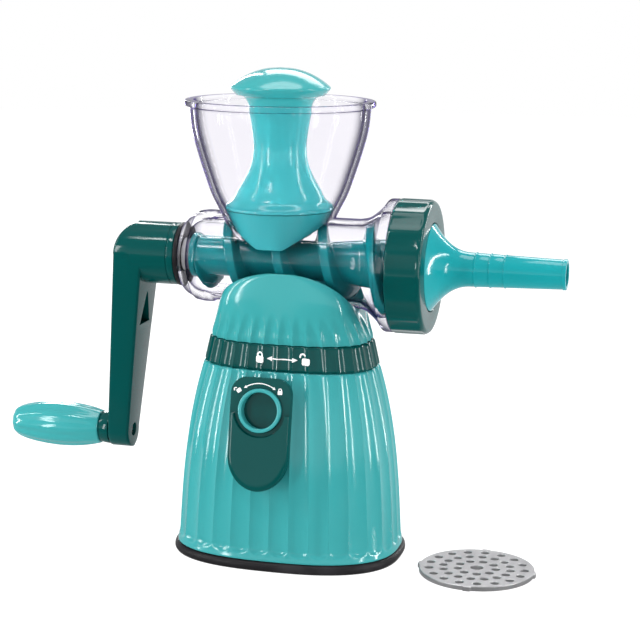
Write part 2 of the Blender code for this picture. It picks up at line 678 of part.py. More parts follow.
def make_spigot_screws(steel):
    head = SPIGOT_PLATE_Z - GAP - SCREW_HEAD
    near = [screw(f"spigot_screw_{n}", head, SPIGOT_PLATE_Z + 8.5, x, 0.0, steel)
            for n, x in enumerate(spigot_screw_places(), 1)]
    return near + [screw("housing_screw", head, SPIGOT_PLATE_Z + 12.0, BASE_X, 0.0, steel)]


# ---------------------------------------------------------------- clear housing

def barrel_outside():
    """Outside of the barrel: rounded back, a raised bead, the flared mouth and the collar."""
    r = BARREL_R
    back = ((0.0, -6.5), (2.3, -3.0), (6.8, -0.1), (12.8, 1.2), (17.3, 1.2), (21.8, 0.0))
    flare = ((16.0, 0.0), (11.5, 0.12), (7.0, 0.37), (3.0, 0.72), (0.0, 1.0))
    points = [(REAR_X + on, r + out) for on, out in back]
    points += [(FLANGE_X - on, r + (FLANGE_R - r) * share) for on, share in flare]
    shoulder = FLANGE_X + FLANGE_THICK
    return points + [(shoulder, FLANGE_R), (shoulder, COLLAR_R), (COLLAR_END, COLLAR_R)]


def mouth_inside():
    """The bore where it opens out from the barrel into the chamber of the collar."""
    flare = ((20.5, 0.0), (15.0, 0.09), (10.0, 0.35), (5.5, 0.77), (2.5, 1.0))
    return [(FLANGE_X - on, BORE_R + (CHAMBER_R - BORE_R) * share) for on, share in flare]


def make_housing(clear):
    """Barrel, flared mouth, collar, hopper and mounting peg, moulded as one clear piece."""
    outside = [(REAR_X, 0.0)] + barrel_outside() + [(COLLAR_END, 0.0)]
    wall = REAR_X + REAR_WALL - GAP
    inside = [(wall, 0.0), (wall, BORE_R - 6.0), (REAR_X + 6.8, BORE_R - 2.0),
              (REAR_X + 12.8, BORE_R)] + mouth_inside()
    inside += [(COLLAR_END + 1.0, CHAMBER_R), (COLLAR_END + 1.0, 0.0)]
    housing = turned("clear_housing", outside, clear, along="X", at=(0.0, AXIS_Z))
    heights = [AXIS_Z + HOPPER_RISE * t for t in HOPPER_STEPS]
    bead_low = RIM_Z - 3.0
    outer = [(AXIS_Z, 0.0)] + [(z, hopper_r(z)) for z in heights[:-1]]
    outer += [(bead_low - 1.0, hopper_r(bead_low)), (bead_low, HOPPER_RIM_R + HOPPER_BEAD),
              (RIM_Z, HOPPER_RIM_R + HOPPER_BEAD), (RIM_Z, 0.0)]
    bowl = turned("hopper_guide", outer, along="Z")
    throat = [(AXIS_Z, 0.0)] + [(z, hopper_r(z) - HOPPER_WALL) for z in heights[:-1]]
    throat += [(RIM_Z + 1.0, HOPPER_RIM_R - HOPPER_WALL + 0.3), (RIM_Z + 1.0, 0.0)]
    hollow = turned("hopper_hollow_guide", throat, along="Z")
    bore = turned("barrel_bore_guide", inside, along="X", at=(0.0, AXIS_Z))
    peg_low = SPIGOT_PLATE_Z + 3.0 + GAP
    peg = turned("peg_guide", [(peg_low, 0.0), (peg_low, PEG_R), (AXIS_Z - BARREL_R + 1.5, PEG_R),
                               (AXIS_Z - BARREL_R + 1.5, 0.0)], at=(BASE_X, 0.0), count=SMALL_SIDES)
    pilot = turned("peg_pilot_guide", [(peg_low - 1, 0.0), (peg_low - 1, SCREW_R + GAP),
                                       (peg_low + 9.5, SCREW_R + GAP), (peg_low + 9.5, 0.0)],
                   at=(BASE_X, 0.0), count=SCREW_SIDES)
    low, high, r = REAR_X - 1.0, REAR_X + REAR_WALL + 1.0, BUSH_R + GAP
    journal = turned("bush_hole_guide", [(low, 0.0), (low, r), (high, r), (high, 0.0)],
                     along="X", at=(0.0, AXIS_Z), count=SMALL_SIDES)
    join(housing, bowl)
    cut(housing, bore, hollow)
    join(housing, peg)
    cut(housing, pilot, journal)
    return housing


# ---------------------------------------------------------------- shaft, auger, crank

def make_bush(white):
    """Plain bush in the barrel's rear wall, in which the shaft turns."""
    low, high = REAR_X, REAR_X + REAR_WALL
    inner = SHAFT_CORNER + SHAFT_SLIP
    profile = [(low, BUSH_R), (high, BUSH_R), (high, inner), (low, inner)]
    return turned("rear_bush", profile, white, along="X", at=(0.0, AXIS_Z), count=SMALL_SIDES,
                  loop=True)


def make_seal(rubber):
    """Rubber ring between the crank's hub and the barrel."""
    low, high = REAR_X - GAP - SEAL_THICK, REAR_X - GAP
    inner = SHAFT_CORNER + 0.6
    profile = [(low, SEAL_R), (high, SEAL_R), (high, inner), (low, inner)]
    return turned("seal_ring", profile, rubber, along="X", at=(0.0, AXIS_Z), loop=True)


def hexagon(name, flats, low, high, finish=None):
    """A hexagonal bar along the barrel's axis."""
    r = flats / math.sqrt(3)
    return turned(name, [(low, 0.0), (low, r), (high, r), (high, 0.0)], finish, along="X",
                  at=(0.0, AXIS_Z), count=6, centre=(0.0, 0.0, AXIS_Z))


def auger_tip_r(x):
    """Radius of the flight's tip: it follows the bore and opens out in the barrel's mouth."""
    bore = np.interp(x, *zip(*mouth_inside()))
    return bore - AUGER_CLEARANCE - 0.9 * np.clip((x - FLANGE_X + 23.0) / 20.0, 0.0, 1.0)


def make_auger(turquoise):
    """Auger: a core with one helical flight, closed by a collar at each end."""
    start = AUGER_START
    count = 20
    turn = np.linspace(0.0, 2 * math.pi, count, endpoint=False)
    places = np.linspace(start + 4.0, AUGER_END - 5.0, 30)
    root = AUGER_ROOT
    rings = [[(start, 0.0, AXIS_Z)] * count]
    for x, r in ((start, root + 1.5), (start + 3.0, root + 1.5)):
        rings.append([(x, r * math.cos(t), AXIS_Z + r * math.sin(t)) for t in turn])
    for x in places:
        tip = auger_tip_r(x)
        phase = np.mod(turn / (2 * math.pi) - (x - start) / AUGER_PITCH, 1.0)
        away = np.abs(phase - 0.5) * 2.0
        lift = np.clip((0.34 - away) / 0.16, 0.0, 1.0)
        fade = min(1.0, (x - start) / 12.0)
        core = root + 3.0 * np.clip((x - FLANGE_X + 33.0) / 30.0, 0.0, 1.0)
        r = core + (tip - core) * lift * fade
        rings.append([(x, q * math.cos(t), AXIS_Z + q * math.sin(t)) for q, t in zip(r, turn)])
    tip = auger_tip_r(AUGER_END)
    for x, r in ((AUGER_END - 3.2, tip), (AUGER_END, tip), (AUGER_END, JOURNAL_R + 5.0),
                 (AUGER_END, JOURNAL_R)):
        rings.append([(x, r * math.cos(t), AXIS_Z + r * math.sin(t)) for t in turn])
    end = PLATE_X + PLATE_THICK - GAP
    rings.append([(end, JOURNAL_R * math.cos(t), AXIS_Z + JOURNAL_R * math.sin(t)) for t in turn])
    rings.append([(end, 0.0, AXIS_Z)] * count)
    auger = skin("auger", rings, turquoise, centre=(0.0, 0.0, AXIS_Z))
    half = KNIFE_SQUARE / 2
    seat = AUGER_END + KNIFE_THICK + 0.5
    square = block("knife_square_guide", (AUGER_END - 1.0, -half, AXIS_Z - half),
                   (seat, half, AXIS_Z + half))
    pocket = hexagon("auger_pocket_guide", SHAFT_FLATS + 2 * GAP, start - 1.0,
                     SHAFT_START + GAP + 0.5)
    join(auger, square)
    cut(auger, pocket)
    return auger


def arm_section(z):
    """Crank arm's outer and inner X and its half width at height z."""
    share = np.clip((AXIS_Z - z) / CRANK_RADIUS, 0.0, 1.0)
    outer = ARM_TOP_X + (ARM_FOOT_X - ARM_TOP_X) * share
    thick = ARM_TOP_THICK + (ARM_FOOT_THICK - ARM_TOP_THICK) * share
    half = HUB_R - 0.5 + (ARM_FOOT_R - HUB_R + 0.5) * share
    inner = outer + thick
    if z > AXIS_Z:
        up = (z - AXIS_Z) / HUB_R
        half = HUB_R * math.sqrt(max(1.0 - up * up, 0.0))
        outer += ARM_SHOULDER * (1.0 - math.sqrt(max(1.0 - up * up, 0.0)))
    if z < GRIP_Z:
        down = (GRIP_Z - z) / ARM_FOOT_R
        half = ARM_FOOT_R * math.sqrt(max(1.0 - down * down, 0.0))
    return outer, inner, half


def make_crank_arm(dark):
    """Crank: a round hub and a tapered arm that leans out towards the grip."""
    up = [AXIS_Z + HUB_R * s for s in (0.3, 0.6, 0.82, 0.95, 0.995)]
    down = [GRIP_Z - ARM_FOOT_R * s for s in (0.995, 0.9, 0.7, 0.4, 0.0)]
    heights = down + [GRIP_Z + CRANK_RADIUS * s for s in (0.25, 0.5, 0.75)] + [AXIS_Z] + up
    rings = []
    for z in heights:
        outer, inner, half = arm_section(z)
        edge = min(2.0, half * 0.4)
        rings.append([(outer + edge, -half, z), (inner - edge, -half, z), (inner, edge - half, z),
                      (inner, half - edge, z), (inner - edge, half, z), (outer + edge, half, z),
                      (outer, half - edge, z), (outer, edge - half, z)])
    arm = skin("crank_arm", rings, dark, centre=(0.0, 0.0, AXIS_Z))
    hub = turned("hub_guide", [(ARM_TOP_X + 10.0, 0.0), (ARM_TOP_X + 10.0, HUB_R), (HUB_END, HUB_R),
                               (HUB_END, 0.0)], along="X", at=(0.0, AXIS_Z))
    socket = hexagon("hub_socket_guide", SHAFT_FLATS + 2 * GAP, SHAFT_END - GAP, HUB_END + 1.0)
    join(arm, hub)
    cut(arm, socket)
    outer, well_r, bolt_r = ARM_TOP_X - 5.0, BOLT_HEAD_R + 0.8, BOLT_R + GAP
    well = turned("bolt_well_guide", [(outer, 0.0), (outer, well_r), (WELL_FLOOR, well_r),
                                      (WELL_FLOOR, bolt_r), (SHAFT_END, bolt_r), (SHAFT_END, 0.0)],
                  along="X", at=(0.0, AXIS_Z), count=SMALL_SIDES)
    cut(arm, well)
    low, high, half = AXIS_Z - 41.0, AXIS_Z - 23.0, 8.5
    _, inner, _ = arm_section((low + high) / 2)
    depth = inner - 7.0
    rings = [[(x, -half, low), (x, half, low), (x, 0.8, high), (x, -0.8, high)]
             for x in (depth, inner + 6.0)]
    cut(arm, skin("arm_pocket_guide", rings))
    _, face, _ = arm_section(GRIP_Z)
    bore = turned("grip_bore_guide",
                  [(ARM_FOOT_X - 3.0, 0.0), (ARM_FOOT_X - 3.0, GRIP_SCREW_R + GAP),
                   (face - 4.0, GRIP_SCREW_R + GAP), (face - 4.0, 3.9), (face + 2.0, 3.9),
                   (face + 2.0, 0.0)], along="X", at=(0.0, GRIP_Z), count=SMALL_SIDES)
    cut(arm, bore)
    return arm


def make_shaft(steel):
    """Hexagonal steel shaft that joins the crank to the auger."""
    shaft = hexagon("drive_shaft", SHAFT_FLATS, SHAFT_END, SHAFT_START, steel)
    low, high, r = SHAFT_END - 1.0, SHAFT_END + 14.0, BOLT_R + GAP
    hole = turned("shaft_hole_guide", [(low, 0.0), (low, r), (high, r), (high, 0.0)],
                  along="X", at=(0.0, AXIS_Z), count=SCREW_SIDES)
    cut(shaft, hole)
    return shaft


def make_crank_bolt(steel):
    """Bolt in the arm's outer face that keeps the crank on its shaft."""
    seat = WELL_FLOOR - GAP
    head, tip = seat - BOLT_HEAD, SHAFT_END + 11.0
    profile = [(head, 0.0), (head, BOLT_HEAD_R - 1.0), (head + 0.8, BOLT_HEAD_R),
               (seat, BOLT_HEAD_R), (seat, BOLT_R), (tip, BOLT_R), (tip, 0.0)]
    return turned("crank_bolt", profile, steel, along="X", at=(0.0, AXIS_Z), count=SCREW_SIDES)


def make_grip(dark, turquoise, steel):
    """Grip with its collar and the screw that it spins on."""
    start = ARM_FOOT_X - GAP
    end = start - COLLAR_LENGTH
    hole = GRIP_SCREW_R + GAP
    collar = turned("grip_collar", [(start, GRIP_COLLAR_R + 0.5), (start, hole), (end, hole),
                                    (end, GRIP_COLLAR_R)],
                    dark, along="X", at=(0.0, GRIP_Z), count=SMALL_SIDES, loop=True,
                    centre=(start, 0.0, GRIP_Z))
    near = end - GAP
    far = near - GRIP_LENGTH
    count = 16
    turn = np.linspace(0.0, 2 * math.pi, count, endpoint=False)
    shape = ((0.0, 0.0), (0.0, 0.76), (0.04, 0.82), (0.16, 0.93), (0.36, 1.0), (0.58, 0.97),
             (0.78, 0.86), (0.92, 0.72), (0.98, 0.58), (1.0, 0.40), (1.0, 0.0))
    rings = []
    for along, share in shape:
        x = near + (far - near) * along
        lobed = GRIP_R * share * (1.0 - 0.035 * (1.0 + np.cos(8 * turn)) / 2)
        rings.append([(x, r * math.cos(t), GRIP_Z + r * math.sin(t)) for r, t in zip(lobed, turn)])
    grip = skin("grip", rings, turquoise, centre=(near, 0.0, GRIP_Z))
    depth = near - GRIP_LENGTH * 0.72
    core = turned("grip_core_guide", [(near + 1.0, 0.0), (near + 1.0, hole), (depth, hole),
                                      (depth, 0.0)], along="X", at=(0.0, GRIP_Z), count=SMALL_SIDES)
    cut(grip, core)
    _, face, _ = arm_section(GRIP_Z)
    seat = face - 4.0 + GAP
    tip = depth + 2.0
    profile = [(seat + 2.2, 0.0), (seat + 2.2, 2.8), (seat + 1.6, 3.5), (seat, 3.5),
               (seat, GRIP_SCREW_R), (tip, GRIP_SCREW_R), (tip, 0.0)]
    pin = turned("grip_screw", profile, steel, along="X", at=(0.0, GRIP_Z), count=SMALL_SIDES)
    return collar, grip, pin


# ---------------------------------------------------------------- cutting end

def lugged_disc(name, finish, x, hole_rings, along="X", at=(0.0, 0.0)):
    """Cutting plate: a disc with four small lugs, its holes set on circles.

    hole_rings holds (count, circle radius, hole radius, first angle) for each circle of holes.
    """
    count = 44
    turn = np.linspace(0.0, 2 * math.pi, count, endpoint=False)
    near = np.abs((np.degrees(turn) + 45.0) % 90.0 - 45.0) < 4.0
    radii = PLATE_R + np.where(near, PLATE_LUG, 0.0)
    flat = [(r * math.cos(t), r * math.sin(t)) for r, t in zip(radii, turn)]
    def place(u, v, w):
        return (x + w, at[0] + u, at[1] + v) if along == "X" else (at[0] + u, at[1] + v, x + w)
    disc = skin(name, [[place(u, v, w) for u, v in flat] for w in (0.0, PLATE_THICK)], finish,
                centre=place(0.0, 0.0, 0.0))
    holes = bmesh.new()
    for number, circle_r, hole_r, first in hole_rings:
        sides = 12 if hole_r > 3 else 6
        for k in range(number):
            angle = math.radians(first + 360.0 * k / number)
            u, v = circle_r * math.cos(angle), circle_r * math.sin(angle)
            corners = [(u + hole_r * math.cos(2 * math.pi * (i + 0.5) / sides),
                        v + hole_r * math.sin(2 * math.pi * (i + 0.5) / sides)) for i in range(sides)]
            ends = []
            for w in (-1.0, PLATE_THICK + 1.0):
                ends.append([holes.verts.new(Vector(place(p, q, w)) * MM) for p, q in corners])
            for i in range(sides):
                j = (i + 1) % sides
                holes.faces.new((ends[0][i], ends[0][j], ends[1][j], ends[1][i]))
            holes.faces.new(ends[0])
            holes.faces.new(ends[1])
    bmesh.ops.recalc_face_normals(holes, faces=holes.faces)
    cut(disc, finished(f"{name}_holes_guide", holes, None))
    return disc


def make_knife(steel):
    """Four-blade knife on the auger's square."""
    low, high = AUGER_END + GAP, AUGER_END + GAP + KNIFE_THICK
    count = 48
    turn = np.linspace(0.0, 2 * math.pi, count, endpoint=False)
    away = np.abs((np.degrees(turn) + 45.0) % 90.0 - 45.0)
    radii = np.where(away < 8.0, KNIFE_R, np.where(away < 17.0, KNIFE_R * 0.62, KNIFE_R * 0.36))
    rings = [[(x, r * s * math.cos(t + lag), AXIS_Z + r * s * math.sin(t + lag))
              for r, t in zip(radii, turn)] for x, s, lag in ((low, 0.99, 0.0), (high, 1.0, 0.06))]
    knife = skin("knife", rings, steel, centre=(low, 0.0, AXIS_Z))
    half = KNIFE_SQUARE / 2 + GAP
    cut(knife, block("knife_bore_guide", (low - 1, -half, AXIS_Z - half),
                     (high + 1, half, AXIS_Z + half)))
    return knife


def make_nut(dark):
    """Retaining nut: broad shallow ridges outside, a bore over the collar, a front wall."""
    count = NUT_RIDGES * 2
    turn = np.linspace(0.0, 2 * math.pi, count, endpoint=False)
    wave = 1.0 - 0.018 * (np.arange(count) % 2 == 0)
    def ring(x, r, ridged=True):
        radii = r * (wave if ridged else 1.0) * np.ones(count)
        return [(x, q * math.cos(t), AXIS_Z + q * math.sin(t)) for q, t in zip(radii, turn)]
    bore = COLLAR_R + BORE_CLEARANCE
    hole = NOZZLE_BASE_R + 0.6
    back = NUT_FACE - NUT_FRONT
    rings = [ring(NUT_X, NUT_R - 0.8), ring(NUT_X + 0.8, NUT_R), ring(NUT_FACE - 1.4, NUT_R),
             ring(NUT_FACE, NUT_R - 1.4, False), ring(NUT_FACE, hole, False),
             ring(back, hole, False), ring(back, bore, False), ring(NUT_X, bore, False)]
    return skin("retaining_nut", rings, dark, loop=True, centre=(NUT_X, 0.0, AXIS_Z))


def make_nozzle(turquoise):
    """Sausage nozzle: a flange behind the nut, a hollowed cone and a long tube."""
    face = NUT_FACE
    tip = face + NOZZLE_LENGTH
    def cone(x):
        t = (x - face) / NOZZLE_CONE
        return NOZZLE_NECK_R + (NOZZLE_BASE_R - NOZZLE_NECK_R) * (1.0 - t) ** 2.3
    steps = [face + NOZZLE_CONE * t for t in (0.0, 0.2, 0.45, 0.7, 1.0)]
    flange_r = PLATE_R
    outside = [(NOZZLE_X, flange_r), (NOZZLE_X + NOZZLE_FLANGE, flange_r),
               (NOZZLE_X + NOZZLE_FLANGE, NOZZLE_BASE_R)]
    outside += [(x, cone(x)) for x in steps] + [(tip, NOZZLE_TIP_R)]
    inside = [(tip, NOZZLE_TIP_R - NOZZLE_WALL)]
    inside += [(x, cone(x) - NOZZLE_WALL) for x in reversed(steps)]
    inside += [(NOZZLE_X, NOZZLE_BASE_R - NOZZLE_WALL)]
    return turned("nozzle", outside + inside, turquoise, along="X", at=(0.0, AXIS_Z), loop=True)


# ---------------------------------------------------------------- pusher

def make_pusher(turquoise):
    """Pusher: a hollow body with a mushroom knob, and a plug that follows the barrel below."""
    top = RIM_Z + KNOB_RISE
    rim = RIM_Z - PUSHER_DROP
    slip = HOPPER_WALL + PUSHER_SLIP
    def r(z):
        return hopper_r(z) - slip
    neck = PUSHER_NECK_R
    outside = [(top, 0.0), (top - 0.4, 10.0), (top - 2.4, 17.5), (top - 6.0, 23.6),
               (top - 10.4, KNOB_R), (top - 12.4, KNOB_R - 0.4), (top - 14.6, KNOB_R - 2.6),
               (top - 19.0, neck + 5.2), (top - 23.0, neck + 3.6), (top - 32.4, neck + 1.1),
               (top - 45.0, neck), (top - 52.4, neck + 0.6), (top - 57.8, neck + 3.0),
               (top - 67.7, neck + 7.4), (rim + 3.4, r(rim) - 2.6), (rim + 1.0, r(rim)),
               (rim, r(rim))]
    mouth_r, throat_z, throat_r = r(rim) - 2.4, top - 67.7, neck + 4.4
    inside = [(rim, mouth_r), (throat_z, throat_r), (top - 57.8, neck + 0.6),
              (top - 45.0, neck - 2.5), (top - 19.0, neck - 1.5), (top - 15.0, 0.0)]
    body = turned("pusher_body", outside + inside, turquoise)
    seam = rim - GAP
    foot = AXIS_Z + 8.0
    ledge = seam + 2.6
    ledge_r = mouth_r + (throat_r - mouth_r) * (ledge - rim) / (throat_z - rim) - GAP - 0.6
    below = [(foot, 0.0), (foot, r(foot) - 0.4)]
    steps = [foot + (seam - foot) * t for t in (0.25, 0.5, 0.75, 1.0)]
    below += [(z, r(z)) for z in steps]
    below += [(seam, ledge_r + 1.2), (ledge, ledge_r), (ledge, 0.0)]
    plug = turned("pusher_plug", below, turquoise)
    clear = BORE_R + PUSHER_SLIP
    low, high = -BORE_R * 2.0, BORE_R * 2.0
    cut(plug, turned("plug_saddle_guide", [(low, 0.0), (low, clear), (high, clear), (high, 0.0)],
                     along="X", at=(0.0, AXIS_Z)))
    return body, plug


# ---------------------------------------------------------------- assembly

def main():
    for old in list(bpy.data.objects):
        bpy.data.objects.remove(old, do_unlink=True)

    turquoise = material("turquoise_plastic", (0.045, 0.41, 0.45), 0.18)
    dark = material("dark_green_plastic", (0.0, 0.06, 0.055), 0.15)
    clear = material("clear_plastic", (0.92, 0.92, 0.96), 0.05, alpha=0.25)
    rubber = material("black_rubber", (0.016, 0.015, 0.018), 0.6)
    steel = material("stainless_steel", (0.55, 0.55, 0.55), 0.35, metallic=1.0)
    zinc = material("zinc_plated_steel", (0.6, 0.6, 0.58), 0.3, metallic=1.0)
    nylon = material("white_nylon", (0.75, 0.75, 0.72), 0.45)

    make_foot(rubber)
    make_base_shell(turquoise)
    make_base_plate(dark)
    make_base_screws(zinc)
    make_band(dark)
    make_band_screws(zinc)
    cup = make_cup(rubber)
    rod = make_pull_rod(zinc)
    spring = make_spring(zinc)
    cup_axis = empty("cup_axis", (BASE_X, 0.0, 0.0))
    ride(cup_axis, cup, rod, spring)

    lever_axis = empty("lever_axis", (0.0, 0.0, 0.0))
    lever_axis.matrix_world = lever_matrix()
    ride(lever_axis, make_lever(dark), make_ring(turquoise), make_cam(nylon))

    head_axis = empty("head_axis", (BASE_X, 0.0, BAND_TOP))
    ride(head_axis, make_dome(turquoise), make_spigot(dark), *make_spigot_screws(zinc),
         make_housing(clear), make_bush(nylon), make_seal(rubber))
    coarse = [(1, 0.0, JOURNAL_R + 0.4, 0.0), (6, 12.2, 4.4, 0.0), (6, 22.8, 4.4, 30.0)]
    ride(head_axis, lugged_disc("coarse_plate", steel, PLATE_X, coarse, at=(0.0, AXIS_Z)))

    collar, grip, pin = make_grip(dark, turquoise, zinc)
    crank_axis = empty("crank_axis", (0.0, 0.0, AXIS_Z))
    grip_axis = empty("grip_axis", (ARM_FOOT_X, 0.0, GRIP_Z))
    ride(crank_axis, make_crank_arm(dark), make_shaft(steel), make_auger(turquoise),
         make_knife(steel), make_crank_bolt(zinc), collar, pin, grip_axis)
    ride(grip_axis, grip)
    ride(head_axis, crank_axis)

    nozzle_axis = empty("nozzle_axis", (NUT_X, 0.0, AXIS_Z))
    ride(nozzle_axis, make_nut(dark), make_nozzle(turquoise))
    pusher_axis = empty("pusher_axis", (0.0, 0.0, RIM_Z))
    ride(pusher_axis, *make_pusher(turquoise))
    ride(head_axis, nozzle_axis, pusher_axis)

    fine = [(1, 0.0, JOURNAL_R + 0.4, 0.0), (9, 10.6, 2.3, 0.0), (16, 18.6, 2.3, 0.0),
            (17, 26.2, 2.3, 5.0)]
    lugged_disc("fine_plate", steel, 0.0, fine, along="Z", at=(SPARE_X, SPARE_Y))


main()
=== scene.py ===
"""Looks of a hand crank meat grinder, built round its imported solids.

Lengths are in millimetres and turned into metres where a mesh is made.
+X runs along the barrel to the nozzle, -Y is the lever side, +Z is up.
"""
import json
import math

import bmesh
import bpy
import numpy as np
from mathutils import Matrix, Vector


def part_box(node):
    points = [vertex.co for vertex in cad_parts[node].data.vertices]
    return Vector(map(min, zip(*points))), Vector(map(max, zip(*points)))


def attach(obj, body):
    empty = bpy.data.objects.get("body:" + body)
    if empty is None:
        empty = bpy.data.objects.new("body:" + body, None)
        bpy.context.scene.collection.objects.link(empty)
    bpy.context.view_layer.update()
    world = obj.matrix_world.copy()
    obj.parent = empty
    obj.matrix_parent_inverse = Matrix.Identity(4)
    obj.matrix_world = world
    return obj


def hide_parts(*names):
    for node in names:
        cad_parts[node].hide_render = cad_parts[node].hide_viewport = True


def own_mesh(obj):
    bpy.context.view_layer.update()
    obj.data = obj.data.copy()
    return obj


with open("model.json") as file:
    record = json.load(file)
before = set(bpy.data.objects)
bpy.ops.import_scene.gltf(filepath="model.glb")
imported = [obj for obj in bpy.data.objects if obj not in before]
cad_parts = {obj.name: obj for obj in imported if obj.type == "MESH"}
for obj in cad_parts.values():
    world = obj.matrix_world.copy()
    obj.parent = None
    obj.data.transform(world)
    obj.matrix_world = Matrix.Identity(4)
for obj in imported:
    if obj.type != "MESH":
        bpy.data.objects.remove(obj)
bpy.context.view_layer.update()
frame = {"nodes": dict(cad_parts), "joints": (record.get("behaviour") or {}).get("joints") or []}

MM = 0.001
TAU = 2 * math.pi


def span(node, axis):
    """Lowest and highest coordinate of a solid along one axis, in millimetres."""
    low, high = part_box(node)
    return low[axis] / MM, high[axis] / MM


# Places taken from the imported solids.
BASE_X = sum(span("foot_rim", 0)) / 2
SHELL_LOW, SHELL_TOP = span("base_shell", 2)
BAND_LOW, BAND_TOP = span("lock_band", 2)
DOME_LOW = span("dome", 2)[0]
AXIS_Z = sum(span("seal_ring", 2)) / 2
REAR_X, COLLAR_END = -53.8, 76.5
RIM_Z = span("clear_housing", 2)[1]
NUT_X, NUT_FACE = span("retaining_nut", 0)
NOZZLE_X, NOZZLE_END = span("nozzle", 0)
PUSHER_RIM, KNOB_TOP = span("pusher_body", 2)
PLUG_TOP = span("pusher_plug", 2)[1]
AUGER_START, AUGER_END = span("auger", 0)
GRIP_FAR, GRIP_NEAR = span("grip", 0)
GRIP_Z = sum(span("grip_collar", 2)) / 2

# Sizes of the visible shapes.
GAP = 0.3                    # between two pieces that touch
WALL = 2.5                   # of the casing, the band and the dome
OVAL_POWER = 2.6             # of the casing's outline
FOOT_A, FOOT_B, FOOT_HEIGHT, FOOT_WIDTH = 65.0, 48.0, 5.0, 10.0
SHELL_A, SHELL_B, CASING_TOP = 62.8, 45.8, 108.0
LEAN_A, LEAN_B = 13.6, 15.0  # how far the casing's ends and sides lean in
BAND_LEAN, BAND_HEIGHT = 3.2, 14.0
LIP_Z = AXIS_Z - 3.7         # where the dome's ends have rounded over
DOME_TAPER, DOME_CROWN = 0.38, 21.3
DOME_POWER, DOME_FILL = 5.0, 26.0   # squareness of the dome, and the rise over which it comes
PEG_Z = 129.9                # underside of the barrel's peg and of the boss round it
BARREL_R, BARREL_WALL = 24.5, 3.5
BORE_R = BARREL_R - BARREL_WALL
FLANGE_X, FLANGE_R = 63.0, 36.5
COLLAR_R = 32.6
CHAMBER_R = COLLAR_R - 3.0
HOPPER_RIM_R, HOPPER_BEAD, HOPPER_WALL = 49.9, 2.4, 3.0
SPIGOT_R = 19.6
SADDLE_Z = AXIS_Z - BARREL_R - GAP - 3.5     # ceiling of the dome's hollow
PUSHER_WALL = 3.5            # from the hopper's outside to the pusher
AUGER_PITCH, AUGER_CORE, FLIGHT_END = 27.0, 11.0, 72.0
HEX_R, SCREW_R = 6.7, 2.3    # corners of the hexagon sockets, and the screws' bores
ARM_TOP_X, ARM_FOOT_X, ARM_R, THROW = -92.0, -99.0, 10.0, AXIS_Z - GRIP_Z
HUB_R, GRIP_R = 17.5, 12.7
NUT_R, NUT_HOLE_R = 36.8, 24.3
CONE_R, TUBE_R, CONE_LENGTH = 23.7, 9.3, 22.0    # of the nozzle
PLATE_R, EASE = 31.6, 0.3    # of the plates and of their edges
LEVER_TILT = math.radians(10.0)
FLUTES = 32
FLUTE_DEPTH = 1.25
FLUTE_END = 11.0             # height where the flutes start above the plain rim
FLUTE_TOP = 141.0            # height on the dome where the middle of each flute ends


# ---------------------------------------------------------------- node expressions

class Value:
    """A shader socket that takes part in plain arithmetic; each operator adds one Math node."""

    def __init__(self, tree, socket):
        self.tree, self.socket = tree, socket

    def math(self, operation, *others):
        """One Math node on this value and the others."""
        return self.tree.node("ShaderNodeMath", {"operation": operation},
                              dict(enumerate((self, *others))))[0]

    def __add__(self, other): return self.math("ADD", other)
    def __radd__(self, other): return self.math("ADD", other)
    def __sub__(self, other): return self.math("SUBTRACT", other)
    def __rsub__(self, other):
        return self.tree.node("ShaderNodeMath", {"operation": "SUBTRACT"}, {0: other, 1: self})[0]

    def __mul__(self, other): return self.math("MULTIPLY", other)
    def __rmul__(self, other): return self.math("MULTIPLY", other)
    def __truediv__(self, other): return self.math("DIVIDE", other)
    def __pow__(self, other): return self.math("POWER", other)

    def clip(self):
        """The value held between 0 and 1."""
        return self.tree.node("ShaderNodeClamp", {}, {0: self})[0]

    def ease(self, low, high):
        """0 below low, 1 above high and a smooth step between."""
        return self.tree.node("ShaderNodeMapRange", {"interpolation_type": "SMOOTHSTEP"},
                              {0: self, 1: low, 2: high, 3: 0.0, 4: 1.0})[0]


